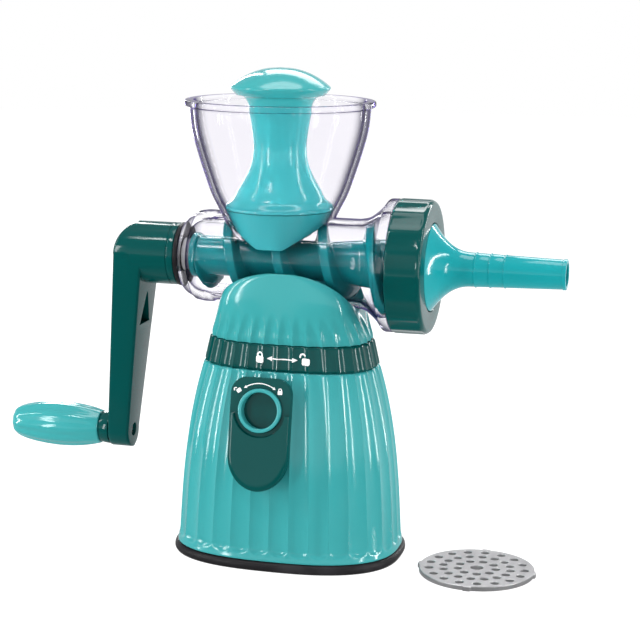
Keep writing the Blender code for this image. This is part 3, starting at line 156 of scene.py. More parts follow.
class Tree:
    """The nodes of one material, or of the world, made by type, settings and inputs."""

    def __init__(self, name, kind="materials"):
        self.owner = getattr(bpy.data, kind).new(name)
        self.owner.use_nodes = True
        self.nodes = self.owner.node_tree.nodes
        self.links = self.owner.node_tree.links
        self.nodes.clear()

    def node(self, kind, settings, inputs):
        made = self.nodes.new(kind)
        for key, setting in settings.items():
            if key == "stops":
                ramp = made.color_ramp
                while len(ramp.elements) < len(setting):
                    ramp.elements.new(0.5)
                for element, (place, colour) in zip(ramp.elements, setting):
                    element.position = place
                    element.color = (*colour, 1.0)
            else:
                setattr(made, key, setting)
        for key, given in inputs.items():
            self.fill(made.inputs[key], given)
        return [Value(self, socket) for socket in made.outputs]

    def fill(self, socket, given):
        """Links a socket, or sets it; a colour is given as three numbers."""
        if isinstance(given, Value):
            self.links.new(given.socket, socket)
        elif socket.type == "RGBA":
            socket.default_value = (*given, 1.0)
        else:
            socket.default_value = given

    def place(self, scale=(1.0, 1.0, 1.0), turn=(0.0, 0.0, 0.0)):
        """The piece's own coordinates, turned and scaled."""
        spot = self.node("ShaderNodeTexCoord", {}, {})[3]
        return self.node("ShaderNodeMapping", {}, {0: spot, "Scale": scale, "Rotation": turn})[0]

    def noise(self, spot, scale, detail=3.0, rough=0.5):
        """A noise pattern at a place, from 0 to 1."""
        return self.node("ShaderNodeTexNoise", {}, {"Vector": spot, "Scale": scale,
                                                    "Detail": detail, "Roughness": rough})[0]

    def blend(self, factor, first, second):
        """Mix of two colours."""
        made = self.nodes.new("ShaderNodeMix")
        made.data_type = "RGBA"
        for socket, given in ((0, factor), (6, first), (7, second)):
            self.fill(made.inputs[socket], given)
        return Value(self, made.outputs[2])

    def bump(self, height, strength, distance=0.0004, normal=None):
        """Normals tilted by a height, over other normals where they are given."""
        inputs = {"Height": height, "Strength": strength, "Distance": distance}
        if normal is not None:
            inputs["Normal"] = normal
        return self.node("ShaderNodeBump", {}, inputs)[0]

    def edge(self, radius):
        """Normals rounded over sharp edges."""
        return self.node("ShaderNodeBevel", {"samples": 4}, {"Radius": radius})[0]

    def shader(self, **inputs):
        """The main surface shader; a space in an input's name is written as an underscore."""
        return self.node("ShaderNodeBsdfPrincipled", {},
                         {key.replace("_", " "): given for key, given in inputs.items()})[0]

    def path(self, output):
        """One named output of the Light Path node."""
        made = self.nodes.new("ShaderNodeLightPath")
        return Value(self, made.outputs[output])

    def finish(self, surface):
        """Closes the material with its surface and returns it."""
        self.node("ShaderNodeOutputMaterial", {}, {"Surface": surface})
        return self.owner


def glossy_plastic(name, deep, light, rough=0.12, sheen=0.5, peel=0.06):
    """Moulded glossy plastic: faint flow colour, orange peel, fine scratches and handling marks."""
    t = Tree(name)
    spot = t.place()
    flow = t.noise(spot, 38.0, 4.0)
    speck = t.noise(spot, 900.0, 2.0)
    scuff = t.noise(t.place((1.0, 1.0, 0.12), (0.5, 0.4, 0.2)), 700.0, 2.0, 0.7)
    hair = scuff.ease(0.66, 0.74)
    tone = (0.35 + flow * 0.3 + speck * 0.12).clip()
    colour = t.blend(tone, deep, light)
    haze = t.noise(spot, 70.0, 3.0).ease(0.45, 0.75)
    roughness = rough + haze * 0.07 + hair * 0.10
    normal = t.bump(t.noise(spot, 420.0, 2.0), peel, 0.0003, t.edge(0.00035))
    normal = t.bump(hair, 0.05, 0.0001, normal)
    return t.finish(t.shader(Base_Color=colour, Roughness=roughness, Normal=normal, IOR=1.5,
                             Specular_IOR_Level=sheen))


def clear_plastic(name):
    """Clear moulded plastic that lamps shine through, with a faint cool tint, thumb smears and painted
    dark edges: its colour turns purple-black where the wall is seen edge-on.
    """
    t = Tree(name)
    spot = t.place()
    smear = t.noise(spot, 60.0, 3.0).ease(0.5, 0.8)
    hair = t.noise(t.place((1.0, 1.0, 0.1), (0.3, 0.6, 0.1)), 600.0, 2.0, 0.7).ease(0.68, 0.75)
    normal = t.bump(t.noise(spot, 160.0, 1.0), 0.03, 0.0004)
    # Painted shade: how edge-on the wall is seen (thick) darkens its colour to purple-black. This
    # stands in for the dark lines that refraction and reflection draw at the outlines.
    thick = t.node("ShaderNodeLayerWeight", {}, {"Blend": 0.5})[1]
    colour = t.blend(thick.ease(0.45, 0.80), (0.96, 0.95, 0.98), (0.01, 0.005, 0.06))
    glass = t.shader(Base_Color=colour, Roughness=0.012 + smear * 0.03 + hair * 0.05,
                     Transmission_Weight=1.0, IOR=1.03, Specular_IOR_Level=0.0, Normal=normal,
                     Coat_Weight=0.20, Coat_Roughness=0.02, Coat_IOR=1.5)
    open_way = t.node("ShaderNodeBsdfTransparent", {}, {"Color": (0.93, 0.93, 0.96)})[0]
    lamp = t.path("Is Shadow Ray")
    return t.finish(t.node("ShaderNodeMixShader", {}, {0: lamp, 1: glass, 2: open_way})[0])


def rubber(name):
    """Black moulded rubber: a fine grain, paler dust in patches and a soft sheen."""
    t = Tree(name)
    spot = t.place()
    dust = t.noise(spot, 55.0, 5.0).ease(0.45, 0.8)
    grain = t.noise(spot, 1500.0, 2.0)
    colour = t.blend(dust, (0.010, 0.0095, 0.011), (0.026, 0.025, 0.028))
    normal = t.bump(grain, 0.25, 0.0002, t.edge(0.0004))
    return t.finish(t.shader(Base_Color=colour, Roughness=0.36 + dust * 0.2 + grain * 0.08,
                             Normal=normal, Specular_IOR_Level=0.15))


def brushed_steel(name, turn, tone=0.50):
    """Ground stainless sheet: long fine scratches one way, a slow change of tone across them."""
    t = Tree(name)
    along = t.place((1.0, 0.03, 1.0), turn)
    lines = t.noise(along, 1600.0, 3.0, 0.7)
    broad = t.noise(along, 240.0, 2.0)
    stain = t.noise(t.place(), 45.0, 4.0).ease(0.5, 0.85)
    shade = (lines * 0.5 + broad * 0.5).clip()
    colour = t.blend(shade, (tone * 0.72, tone * 0.72, tone * 0.73),
                     (tone * 1.25, tone * 1.25, tone * 1.26))
    normal = t.bump(lines, 0.25, 0.00015, t.edge(0.0002))
    return t.finish(t.shader(Base_Color=colour, Metallic=1.0,
                             Roughness=0.26 + lines * 0.16 + stain * 0.1, Normal=normal))


def plated_steel(name):
    """Bright zinc plate with a spangle and duller spots."""
    t = Tree(name)
    spot = t.place()
    spangle = t.node("ShaderNodeTexVoronoi", {}, {"Vector": spot, "Scale": 900.0})[0]
    dull = t.noise(spot, 300.0, 4.0).ease(0.4, 0.75)
    colour = t.blend(dull, (0.62, 0.62, 0.60), (0.40, 0.41, 0.42))
    normal = t.bump(spangle, 0.08, 0.0001)
    return t.finish(t.shader(Base_Color=colour, Metallic=1.0, Roughness=0.22 + dull * 0.25,
                             Normal=normal))


def nylon(name):
    """Off-white satin nylon with a mottled skin."""
    t = Tree(name)
    spot = t.place()
    mottle = t.noise(spot, 220.0, 4.0)
    colour = t.blend(mottle, (0.66, 0.66, 0.62), (0.80, 0.80, 0.77))
    return t.finish(t.shader(Base_Color=colour, Roughness=0.38 + mottle * 0.2,
                             Normal=t.bump(mottle, 0.1, 0.0002)))


def print_ink(name):
    """White pad-printed ink, a little uneven."""
    t = Tree(name)
    patch = t.noise(t.place(), 1400.0, 4.0)
    colour = t.blend(patch, (0.82, 0.84, 0.84), (0.93, 0.94, 0.94))
    return t.finish(t.shader(Base_Color=colour, Roughness=0.35 + patch * 0.15,
                             Normal=t.bump(patch, 0.1, 0.0001)))


def pale_table(name):
    """White sweep lit from below; in reflections its near side is dim, as if flagged off."""
    t = Tree(name)
    cloud = t.noise(t.place(), 6.0, 4.0)
    colour = t.blend(cloud, (0.21, 0.21, 0.21), (0.24, 0.24, 0.24))
    lit = t.shader(Base_Color=colour, Roughness=0.6 + cloud * 0.1, Specular_IOR_Level=0.0,
                   Emission_Color=(1.0, 1.0, 1.0), Emission_Strength=0.93)
    depth = t.node("ShaderNodeSeparateXYZ", {}, {0: t.place()})[1].ease(-0.25, 0.25)
    glow = t.blend(depth, (0.10, 0.10, 0.10), (0.85, 0.85, 0.87))
    flagged = t.node("ShaderNodeEmission", {}, {"Color": glow})[0]
    mirrored = t.path("Glossy Depth").clip()
    return t.finish(t.node("ShaderNodeMixShader", {}, {0: mirrored, 1: lit, 2: flagged})[0])


# ---------------------------------------------------------------- meshes from arrays

def quads(rows, cols, loop):
    """Four-cornered faces between neighbouring rows and columns; columns wrap, rows may."""
    r = np.arange(rows if loop else rows - 1)[:, None]
    c = np.arange(cols)[None, :]
    r2, c2 = (r + 1) % rows, (c + 1) % cols
    faces = np.stack(np.broadcast_arrays(r * cols + c, r * cols + c2, r2 * cols + c2,
                                         r2 * cols + c), axis=-1)
    return faces.reshape(-1, 4)


def solid(name, grid, loop=False, sharp=32.0, place=None):
    """A closed skin over a (rows, columns, 3) grid; open ends are closed with a fan to their middle."""
    grid = np.asarray(grid, float)
    rows, cols = grid.shape[:2]
    points = grid.reshape(-1, 3)
    faces = quads(rows, cols, loop).tolist()
    if not loop:
        middles = [grid[0].mean(axis=0), grid[-1].mean(axis=0)]
        points = np.vstack([points, middles])
        c = np.arange(cols)
        for row, hub in ((0, rows * cols), (rows - 1, rows * cols + 1)):
            fan = np.stack([row * cols + c, row * cols + (c + 1) % cols,
                            np.full(cols, hub)], axis=-1)
            faces += fan.tolist()
    return mesh_object(name, points, faces, sharp, place)


def mesh_object(name, points, faces, sharp=32.0, place=None):
    """Puts points in millimetres and faces into one object; place is a matrix in metres."""
    build = bmesh.new()
    mesh = bpy.data.meshes.new(name)
    mesh.from_pydata((np.asarray(points) * MM).tolist(), [], faces)
    if place is not None:
        mesh.transform(place)
    build.from_mesh(mesh)
    bmesh.ops.remove_doubles(build, verts=build.verts, dist=2e-7)
    bmesh.ops.recalc_face_normals(build, faces=build.faces)
    build.to_mesh(mesh)
    build.free()
    mesh.shade_smooth()
    mesh.set_sharp_from_angle(angle=math.radians(sharp))
    piece = bpy.data.objects.new(name, mesh)
    bpy.context.scene.collection.objects.link(piece)
    return piece


def carve(piece, operation, *others, sharp=32.0):
    """Cuts or joins other shapes into a piece and keeps the result as its mesh."""
    for other in others:
        step = piece.modifiers.new(other.name, "BOOLEAN")
        step.operation = operation
        step.solver = "MANIFOLD"
        step.object = other
    ready = piece.evaluated_get(bpy.context.evaluated_depsgraph_get())
    mesh = bpy.data.meshes.new_from_object(ready)
    piece.modifiers.clear()
    old, piece.data = piece.data, mesh
    bpy.data.meshes.remove(old)
    for other in others:
        spent = other.data
        bpy.data.objects.remove(other)
        bpy.data.meshes.remove(spent)
    mesh.shade_smooth()
    mesh.set_sharp_from_angle(angle=math.radians(sharp))
    return piece


def rounded(points, steps=4):
    """A path through (along, radius, fillet) corners, each fillet a short quadratic curve."""
    path = []
    points = [tuple(p) + (0.0,) * (3 - len(p)) for p in points]
    for i, (x, r, fillet) in enumerate(points):
        here = np.array((x, r))
        if fillet <= 0 or i in (0, len(points) - 1):
            path.append(here)
            continue
        before, after = np.array(points[i - 1][:2]) - here, np.array(points[i + 1][:2]) - here
        reach = [min(fillet, 0.49 * np.linalg.norm(v)) / np.linalg.norm(v) for v in (before, after)]
        a, b = here + before * reach[0], here + after * reach[1]
        t = np.linspace(0.0, 1.0, steps + 1)[:, None]
        path.extend((1 - t) ** 2 * a + 2 * t * (1 - t) * here + t ** 2 * b)
    return np.array(path)


def flowing(points, count):
    """A smooth curve through the points: cubic pieces whose slopes come from both neighbours."""
    points = np.asarray(points, float)
    knots = np.concatenate([[0.0], np.cumsum(np.linalg.norm(np.diff(points, axis=0), axis=1))])
    slopes = np.gradient(points, knots, axis=0)
    where = np.linspace(0.0, knots[-1], count)
    i = np.clip(np.searchsorted(knots, where, side="right") - 1, 0, len(knots) - 2)
    width = (knots[i + 1] - knots[i])[:, None]
    t = (where - knots[i])[:, None] / width
    return ((1 + 2 * t) * (1 - t) ** 2 * points[i] + t * (1 - t) ** 2 * width * slopes[i]
            + t ** 2 * (3 - 2 * t) * points[i + 1] + t ** 2 * (t - 1) * width * slopes[i + 1])


def turned(profile, along="X", at=None, count=128, wave=None):
    """Grid of a profile of (place, radius) turned about an axis; wave scales the radius by angle."""
    profile = np.asarray(profile, float)
    turn = np.linspace(0.0, TAU, count, endpoint=False)[None, :]
    place, r = profile[:, 0][:, None], profile[:, 1][:, None]
    if wave is not None:
        r = r * wave(place, turn)
    u, v = r * np.cos(turn), r * np.sin(turn)
    place = np.broadcast_to(place, u.shape)
    if along == "X":
        at = (0.0, AXIS_Z) if at is None else at
        return np.stack([place, at[0] + u, at[1] + v], axis=-1)
    at = (0.0, 0.0) if at is None else at
    return np.stack([at[0] + u, at[1] + v, place], axis=-1)


def stop(profile):
    """A profile closed onto its axis at both ends."""
    profile = [tuple(p) for p in np.asarray(profile)[:, :2]]
    return [(profile[0][0], 0.0)] + profile + [(profile[-1][0], 0.0)]


def rod(name, low, high, r, along="X", at=None, count=48, place=None):
    """A plain rod of one radius between two places along an axis."""
    return solid(name, turned(stop([(low, r), (high, r)]), along, at, count), place=place)


def box_solid(name, low, high, place=None):
    """A block between two corners."""
    (x0, y0, z0), (x1, y1, z1) = low, high
    ring = np.array([(x0, y0), (x1, y0), (x1, y1), (x0, y1)])
    grid = [np.column_stack([ring, np.full(4, z)]) for z in (z0, z1)]
    return solid(name, grid, place=place)


def smooth_step(value, low, high):
    """0 below low, 1 above high, and between them three t squared less two t cubed."""
    t = np.clip((value - low) / (high - low), 0.0, 1.0)
    return t * t * (3 - 2 * t)


# ---------------------------------------------------------------- the fluted casing

COLUMN_SHARES = np.array([0.0, 0.045, 0.11, 0.2, 0.32, 0.44, 0.56, 0.68, 0.8, 0.89, 0.955])


def perimeter():
    """Columns round the casing at equal steps of arc length, each with its place in a flute.

    The oval is |x/a|^p + |y/b|^p = 1. Returns the unit oval's x and y, the outward normal of the
    casing there, and how deep the flute is: 1 - |2s - 1|^2.2 for a share s across the flute.
    """
    angle = np.linspace(0.0, TAU, 40001)
    c, s = np.cos(angle), np.sin(angle)
    x = np.sign(c) * np.abs(c) ** (2 / OVAL_POWER)
    y = np.sign(s) * np.abs(s) ** (2 / OVAL_POWER)
    length = np.concatenate([[0.0], np.cumsum(np.hypot(np.diff(x) * SHELL_A, np.diff(y) * SHELL_B))])
    share = (np.arange(FLUTES)[:, None] + COLUMN_SHARES[None, :]).ravel() / FLUTES
    at = np.interp(share * length[-1], length, angle)
    c, s = np.cos(at), np.sin(at)
    ux = np.sign(c) * np.abs(c) ** (2 / OVAL_POWER)
    uy = np.sign(s) * np.abs(s) ** (2 / OVAL_POWER)
    nx = np.sign(ux) * np.abs(ux) ** (OVAL_POWER - 1) / SHELL_A
    ny = np.sign(uy) * np.abs(uy) ** (OVAL_POWER - 1) / SHELL_B
    size = np.hypot(nx, ny)
    across = np.tile(COLUMN_SHARES, FLUTES)
    groove = 1.0 - np.abs(2 * across - 1) ** 2.2
    return ux, uy, nx / size, ny / size, groove


UX, UY, NX, NY, GROOVE = perimeter()


def shell_half(z):
    """Half length and half width of the casing: it leans in with height, faster near the top."""
    t = np.clip(z / CASING_TOP, 0.0, 1.0)
    lean = 0.32 * t + 0.68 * t ** 3
    flare = 0.9 * np.exp(-np.maximum(z - SHELL_LOW, 0.0) / 3.0)
    return SHELL_A - LEAN_A * lean + flare, SHELL_B - LEAN_B * lean + flare


def band_half(z):
    """Half length and half width of the band: it leans in evenly from the casing's top."""
    a, b = shell_half(np.float64(CASING_TOP))
    t = (z - CASING_TOP) / BAND_HEIGHT
    return a - BAND_LEAN * t, b - BAND_LEAN * 0.6 * t


def dome_half(z):
    """Half length and half width of the dome: straight taper, then ends that round over."""
    a, b = band_half(np.float64(BAND_TOP))
    rise = z - BAND_TOP
    crown = np.clip((z - LIP_Z) / DOME_CROWN + 1.0, 0.0, 1.0)
    b_here = b + (BARREL_R + 1.3 - b) * rise / (LIP_Z - BAND_TOP)
    return (a - DOME_TAPER * rise) * np.sqrt(np.maximum(1.0 - crown ** DOME_POWER, 0.0)), b_here


def flute_depth(z):
    """How deep the flutes are cut at each height and column: they end in arches low and high."""
    low = smooth_step(z, FLUTE_END - 2.6 * GROOVE, FLUTE_END + 1.6 - 2.6 * GROOVE)
    high = 1.0 - smooth_step(z, FLUTE_TOP - 20.0 + 8.0 * GROOVE, FLUTE_TOP - 8.0 + 8.0 * GROOVE)
    return FLUTE_DEPTH * low * high


def squared(z):
    """The unit oval's y at each column; up the dome its sides fill out to (1 - |x|^5)^(1/5)."""
    share = smooth_step(z, BAND_TOP, BAND_TOP + DOME_FILL)
    full = np.sign(UY) * np.maximum(1.0 - np.abs(UX) ** DOME_POWER, 0.0) ** (1 / DOME_POWER)
    return UY + (full - UY) * share


def fluted(halves, z, inset=0.0, depth=1.0):
    """Rows of the fluted oval: the plain oval less its flutes, along the outward normal."""
    z = np.asarray(z, float)[:, None]
    a, b = halves(z)
    inward = np.asarray(inset, float).reshape(-1, 1) + flute_depth(z) * GROOVE * depth
    x = BASE_X + a * UX - inward * NX
    y = b * squared(z) - inward * NY
    return np.stack(np.broadcast_arrays(x, y, z), axis=-1)


def plain_circle(r, z):
    """A circle on the casing's columns, so that it joins the fluted rows."""
    angle = np.arctan2(UY * 0.73, UX)
    return np.stack([BASE_X + r * np.cos(angle), r * np.sin(angle), np.full(angle.shape, z)],
                    axis=-1)[None]


def make_casing(finish):
    """Casing: the fluted oval up to its roof, with a round hole there, a hollow and a window."""
    low, top = SHELL_LOW, SHELL_TOP
    z = np.concatenate([[low, low + 0.15, low + 0.5], np.linspace(low + 1.2, 18.0, 16),
                        np.linspace(20.0, top - 1.4, 34), [top - 0.7, top - 0.25, top]])
    inset = np.zeros(len(z))
    inset[:3] = (0.6, 0.2, 0.0)
    inset[-3:] = (0.12, 0.4, 0.9)
    hole = SPIGOT_R + 4.6 + 1.6
    under = top - 3.0
    inside = np.linspace(under, low, 8)
    grid = np.concatenate([fluted(shell_half, z, inset), plain_circle(hole, top),
                           plain_circle(hole, under),
                           fluted(shell_half, inside, np.full(8, WALL), 0.0)])
    casing = solid("casing", grid, loop=True, sharp=50.0)
    window = rod("window", -12.0, 4.0, 8.0, "Z", place=LEVER_PLACE)
    carve(casing, "DIFFERENCE", window, sharp=50.0)
    return wear(casing, finish, "base", "base_shell")


def make_foot(finish):
    """Rubber foot: a rounded bead round the casing's edge with a lip and an inside wall."""

    def at(inset, z):
        return np.stack([BASE_X + (FOOT_A - inset) * UX, (FOOT_B - inset) * UY,
                         np.full(UX.shape, z)], axis=-1)
    wall = 2.2 + WALL + 2 * GAP + 1.0
    path = rounded([(0.9, 0.0), (0.0, 1.2, 0.8), (0.15, FOOT_HEIGHT - 1.5, 1.0),
                    (1.5, FOOT_HEIGHT, 0.8), (wall, FOOT_HEIGHT), (wall, 11.2, 0.4),
                    (wall + 2.6, 11.2, 0.4), (wall + 2.6, FOOT_HEIGHT),
                    (FOOT_WIDTH, FOOT_HEIGHT - 1.0, 0.4), (FOOT_WIDTH, 0.0)])
    foot = solid("rubber_foot", [at(inset, z) for inset, z in path], loop=True)
    return wear(foot, finish, "base", "foot_rim")


def make_band(finish):
    """Band: the fluted oval with a round tube down its middle and a keyway cut across it."""
    low, top = BAND_LOW, BAND_TOP
    z = np.concatenate([[low, low + 0.2, low + 0.6], np.linspace(low + 1.3, top - 1.3, 9),
                        [top - 0.6, top - 0.2, top]])
    inset = np.zeros(len(z))
    inset[:3] = (0.7, 0.25, 0.05)
    inset[-3:] = (0.05, 0.25, 0.7)
    bore = SPIGOT_R + 0.4
    tube, under = bore + WALL, top - 3.0
    grid = np.concatenate([fluted(band_half, z, inset, 0.9), plain_circle(bore, top),
                           plain_circle(bore, low), plain_circle(tube, low),
                           plain_circle(tube, under),
                           fluted(band_half, [under, low], [WALL, WALL], 0.0)])
    band = solid("band", grid, loop=True, sharp=50.0)
    reach, half = SPIGOT_R + 5.0, 3.9
    keyway = box_solid("keyway", (-reach, -half, low - 2.0), (reach, half, top + 2.0),
                       Matrix.Translation((BASE_X * MM, 0.0, 0.0))
                       @ Matrix.Rotation(math.radians(30.0), 4, "Z"))
    carve(band, "DIFFERENCE", keyway, sharp=50.0)
    return wear(band, finish, "base", "lock_band")


def barrel_outside():
    """Outside of the clear barrel, from its rounded back to the end of the collar."""
    r = BARREL_R
    back = rounded([(REAR_X, r - 7.0), (REAR_X + 1.0, r - 4.6, 0.8), (REAR_X + 3.4, r - 2.4, 1.2),
                    (REAR_X + 6.6, r - 0.9, 0.8), (REAR_X + 7.4, r - 0.5, 0.4),
                    (REAR_X + 8.2, r + 0.5, 0.5), (REAR_X + 12.8, r + 1.25, 1.5),
                    (REAR_X + 17.3, r + 1.15, 1.2), (REAR_X + 18.4, r + 0.2, 0.6),
                    (REAR_X + 21.8, r, 0.6), (REAR_X + 23.0, r)])
    mouth = flowing([(FLANGE_X - 17.0, r), (FLANGE_X - 12.0, r + 1.2), (FLANGE_X - 7.0, r + 4.6),
                     (FLANGE_X - 3.2, FLANGE_R - 3.6), (FLANGE_X - 0.8, FLANGE_R - 0.5)], 22)
    rim = rounded([(FLANGE_X - 0.8, FLANGE_R - 0.5), (FLANGE_X, FLANGE_R, 0.7),
                   (FLANGE_X + 4.0, FLANGE_R, 0.6), (FLANGE_X + 4.0, COLLAR_R, 0.3),
                   (COLLAR_END, COLLAR_R, 0.4), (COLLAR_END, CHAMBER_R)])
    return np.vstack([back, mouth, rim[1:]])


def mouth_inside():
    """The bore where it opens out into the chamber of the collar."""
    return flowing([(FLANGE_X - 20.5, BORE_R), (FLANGE_X - 15.0, BORE_R + 0.7),
                    (FLANGE_X - 10.0, BORE_R + 3.0), (FLANGE_X - 5.5, CHAMBER_R - 1.9),
                    (FLANGE_X - 2.5, CHAMBER_R)], 20)


HOPPER_STEPS = (0.0, 0.10, 0.16, 0.23, 0.33, 0.40, 0.53, 0.67, 0.82, 1.0)
HOPPER_SWELLS = (0.0, 0.04, 0.11, 0.22, 0.38, 0.50, 0.66, 0.81, 0.94, 1.0)


def hopper_curve(count=60):
    """(height, outer radius) of the hopper: a bell that starts at the barrel's sides."""
    foot = BARREL_R - 0.6
    rise = RIM_Z - AXIS_Z
    points = [(AXIS_Z + rise * t, foot + (HOPPER_RIM_R - foot) * s)
              for t, s in zip(HOPPER_STEPS, HOPPER_SWELLS)]
    return flowing(points, count)


def hopper_r(z):
    """Outer radius of the hopper at a height, between the points of its curve."""
    curve = hopper_curve()
    return np.interp(z, curve[:, 0], curve[:, 1])


def make_dome(finish):
    """Dome: the fluted oval carried up to its lip, hollowed for the barrel and for the spigot."""
    lip = LIP_Z - 0.35
    z = DOME_LOW + (lip - DOME_LOW) * np.sin(np.linspace(0.0, math.pi / 2, 54)) ** 0.9
    inset = np.zeros(len(z))
    inset[:3] = (0.8, 0.25, 0.0)
    dome = solid("dome_cover", fluted(dome_half, z, inset), sharp=40.0)
    barrel = barrel_outside()
    barrel[:, 1] += GAP
    saddle = solid("saddle", turned(stop(barrel), count=160))
    hollow = solid("hollow", [oval_ring(h, WALL) for h in
                              (DOME_LOW - 1.0, DOME_LOW, (DOME_LOW + SADDLE_Z) / 2, SADDLE_Z)])
    carve(dome, "DIFFERENCE", saddle, hollow, sharp=40.0)
    carve(dome, "UNION", rod("boss", PEG_Z, SADDLE_Z + 1.0, 16.4, "Z", (BASE_X, 0.0)), sharp=40.0)
    carve(dome, "DIFFERENCE", rod("socket", DOME_LOW, AXIS_Z, 7.3, "Z", (BASE_X, 0.0)), sharp=40.0)
    return wear(dome, finish, "head", "dome")


def oval_ring(z, inset):
    """One ring of the dome's oval without its flutes, set in from the outside."""
    a, b = dome_half(np.float64(max(z, DOME_LOW)))
    y = squared(np.float64(z))
    return np.stack([BASE_X + (a - inset) * UX, (b - inset) * y, np.full(UX.shape, z)], axis=-1)


def make_clear_housing(finish):
    """Barrel and hopper in one clear wall: outsides joined, then both bores taken out."""
    barrel = solid("barrel_and_hopper", turned(stop(barrel_outside()), count=144))
    wall = REAR_X + 4.0
    rear = flowing([(wall, BORE_R - 6.0), (REAR_X + 5.6, BORE_R - 2.9), (REAR_X + 8.6, BORE_R - 1.0),
                    (REAR_X + 12.8, BORE_R)], 12)
    straight = np.column_stack([np.linspace(REAR_X + 14.0, 27.0, 24), np.full(24, BORE_R)])
    bore_path = np.vstack([rear, straight, mouth_inside(), [(COLLAR_END + 1.0, CHAMBER_R)]])

    def grooves(x, turn):
        ends = smooth_step(x, REAR_X + 14.0, REAR_X + 17.0) * (1 - smooth_step(x, 18.0, 26.0))
        return 1.0 + 0.05 * ends * smooth_step(np.cos(12 * turn), 0.1, 0.7)
    bore = solid("bore", turned(stop(bore_path), count=288, wave=grooves))
    bell = hopper_curve(56)
    keep = bell[:, 0] < RIM_Z - 5.6
    bead = rounded([(RIM_Z - 5.6, hopper_r(RIM_Z - 5.6)), (RIM_Z - 3.6, hopper_r(RIM_Z - 3.6), 1.2),
                    (RIM_Z - 3.0, HOPPER_RIM_R + HOPPER_BEAD, 1.0),
                    (RIM_Z, HOPPER_RIM_R + HOPPER_BEAD, 1.2), (RIM_Z, HOPPER_RIM_R - 1.0)], 6)
    hopper = solid("hopper", turned(stop(np.vstack([bell[keep], bead])), "Z", count=144))
    throat = bell.copy()
    throat[:, 1] -= HOPPER_WALL
    throat[-1] = (RIM_Z + 1.0, HOPPER_RIM_R - HOPPER_WALL + 0.9)
    hollow = solid("throat", turned(stop(throat), "Z", count=144))
    carve(barrel, "UNION", hopper)
    carve(barrel, "DIFFERENCE", bore, hollow)
    carve(barrel, "UNION", rod("peg", PEG_Z, AXIS_Z - BARREL_R + 1.5, 7.0, "Z", (BASE_X, 0.0)))
    carve(barrel, "DIFFERENCE", rod("bush_seat", REAR_X - 1.0, REAR_X + 6.0, 9.55),
          rod("pilot", 129.0, 139.4, 1.8, "Z", (BASE_X, 0.0), 24))
    return wear(barrel, finish, "head", "clear_housing")


# ---------------------------------------------------------------- what turns

def auger_tip(x):
    """Radius of the flight's edge, which follows the bore."""
    curve = mouth_inside()
    return np.interp(x, curve[:, 0], curve[:, 1]) - 0.7 - 0.9 * np.clip((x - 40.0) / 20.0, 0, 1)


def make_auger(finish):
    """Auger: a core whose radius rises to the flight where the angle keeps up with x over the pitch."""
    start, end = AUGER_START, FLIGHT_END
    turn = np.linspace(0.0, TAU, 144, endpoint=False)[None, :]
    x = np.linspace(start + 4.0, end - 4.6, 260)[:, None]
    phase = np.mod(turn / TAU - (x - start) / AUGER_PITCH, 1.0)
    away = np.abs(phase - 0.5) * 2.0
    lift = smooth_step(0.32 - away, 0.0, 0.15)
    core = AUGER_CORE + 3.0 * np.clip((x - 30.0) / 30.0, 0.0, 1.0)
    fade = smooth_step(x, start, start + 12.0)
    r = core + (auger_tip(x) - core) * lift * fade
    body = np.stack(np.broadcast_arrays(x, r * np.cos(turn), AXIS_Z + r * np.sin(turn)), axis=-1)
    tip = float(auger_tip(end))
    back = turned(rounded([(start, 0.0), (start, 12.5, 0.6), (start + 3.0, 12.5, 0.8),
                           (start + 3.6, 11.4)]), count=144)
    front = turned(rounded([(end - 4.2, 14.4), (end - 3.4, tip, 0.8), (end, tip, 0.6), (end, 3.1),
                            (AUGER_END, 3.1, 0.4), (AUGER_END, 0.0)]), count=144)
    auger = solid("screw_auger", np.concatenate([back, body, front]), sharp=45.0)
    square = box_solid("square", (end - 1.0, -4.5, AXIS_Z - 4.5), (end + 3.9, 4.5, AXIS_Z + 4.5))
    pocket = solid("pocket", turned(stop([(start - 1.0, HEX_R), (-27.2, HEX_R)]), count=6))
    carve(auger, "UNION", square, sharp=45.0)
    carve(auger, "DIFFERENCE", pocket, sharp=45.0)
    return wear(auger, finish, "crank", "auger")


def arm_rows(z):
    """Outer and inner X and half width of the arm at each height, with its rounded top and foot."""
    share = np.clip((AXIS_Z - z) / THROW, 0.0, 1.0)
    outer = ARM_TOP_X + (ARM_FOOT_X - ARM_TOP_X) * share
    inner = outer + 17.0 - 4.4 * share
    half = HUB_R - 0.5 + (ARM_R - HUB_R + 0.5) * share
    up = np.clip((z - AXIS_Z) / HUB_R, 0.0, 1.0)
    circle_up = np.sqrt(np.maximum(1.0 - up * up, 0.0))
    half = np.where(z > AXIS_Z, HUB_R * circle_up, half)
    outer = np.where(z > AXIS_Z, outer + 12.0 * (1.0 - circle_up), outer)
    down = np.clip((GRIP_Z - z) / ARM_R, 0.0, 1.0)
    half = np.where(z < GRIP_Z, ARM_R * np.sqrt(np.maximum(1.0 - down * down, 0.0)), half)
    return outer, inner, half


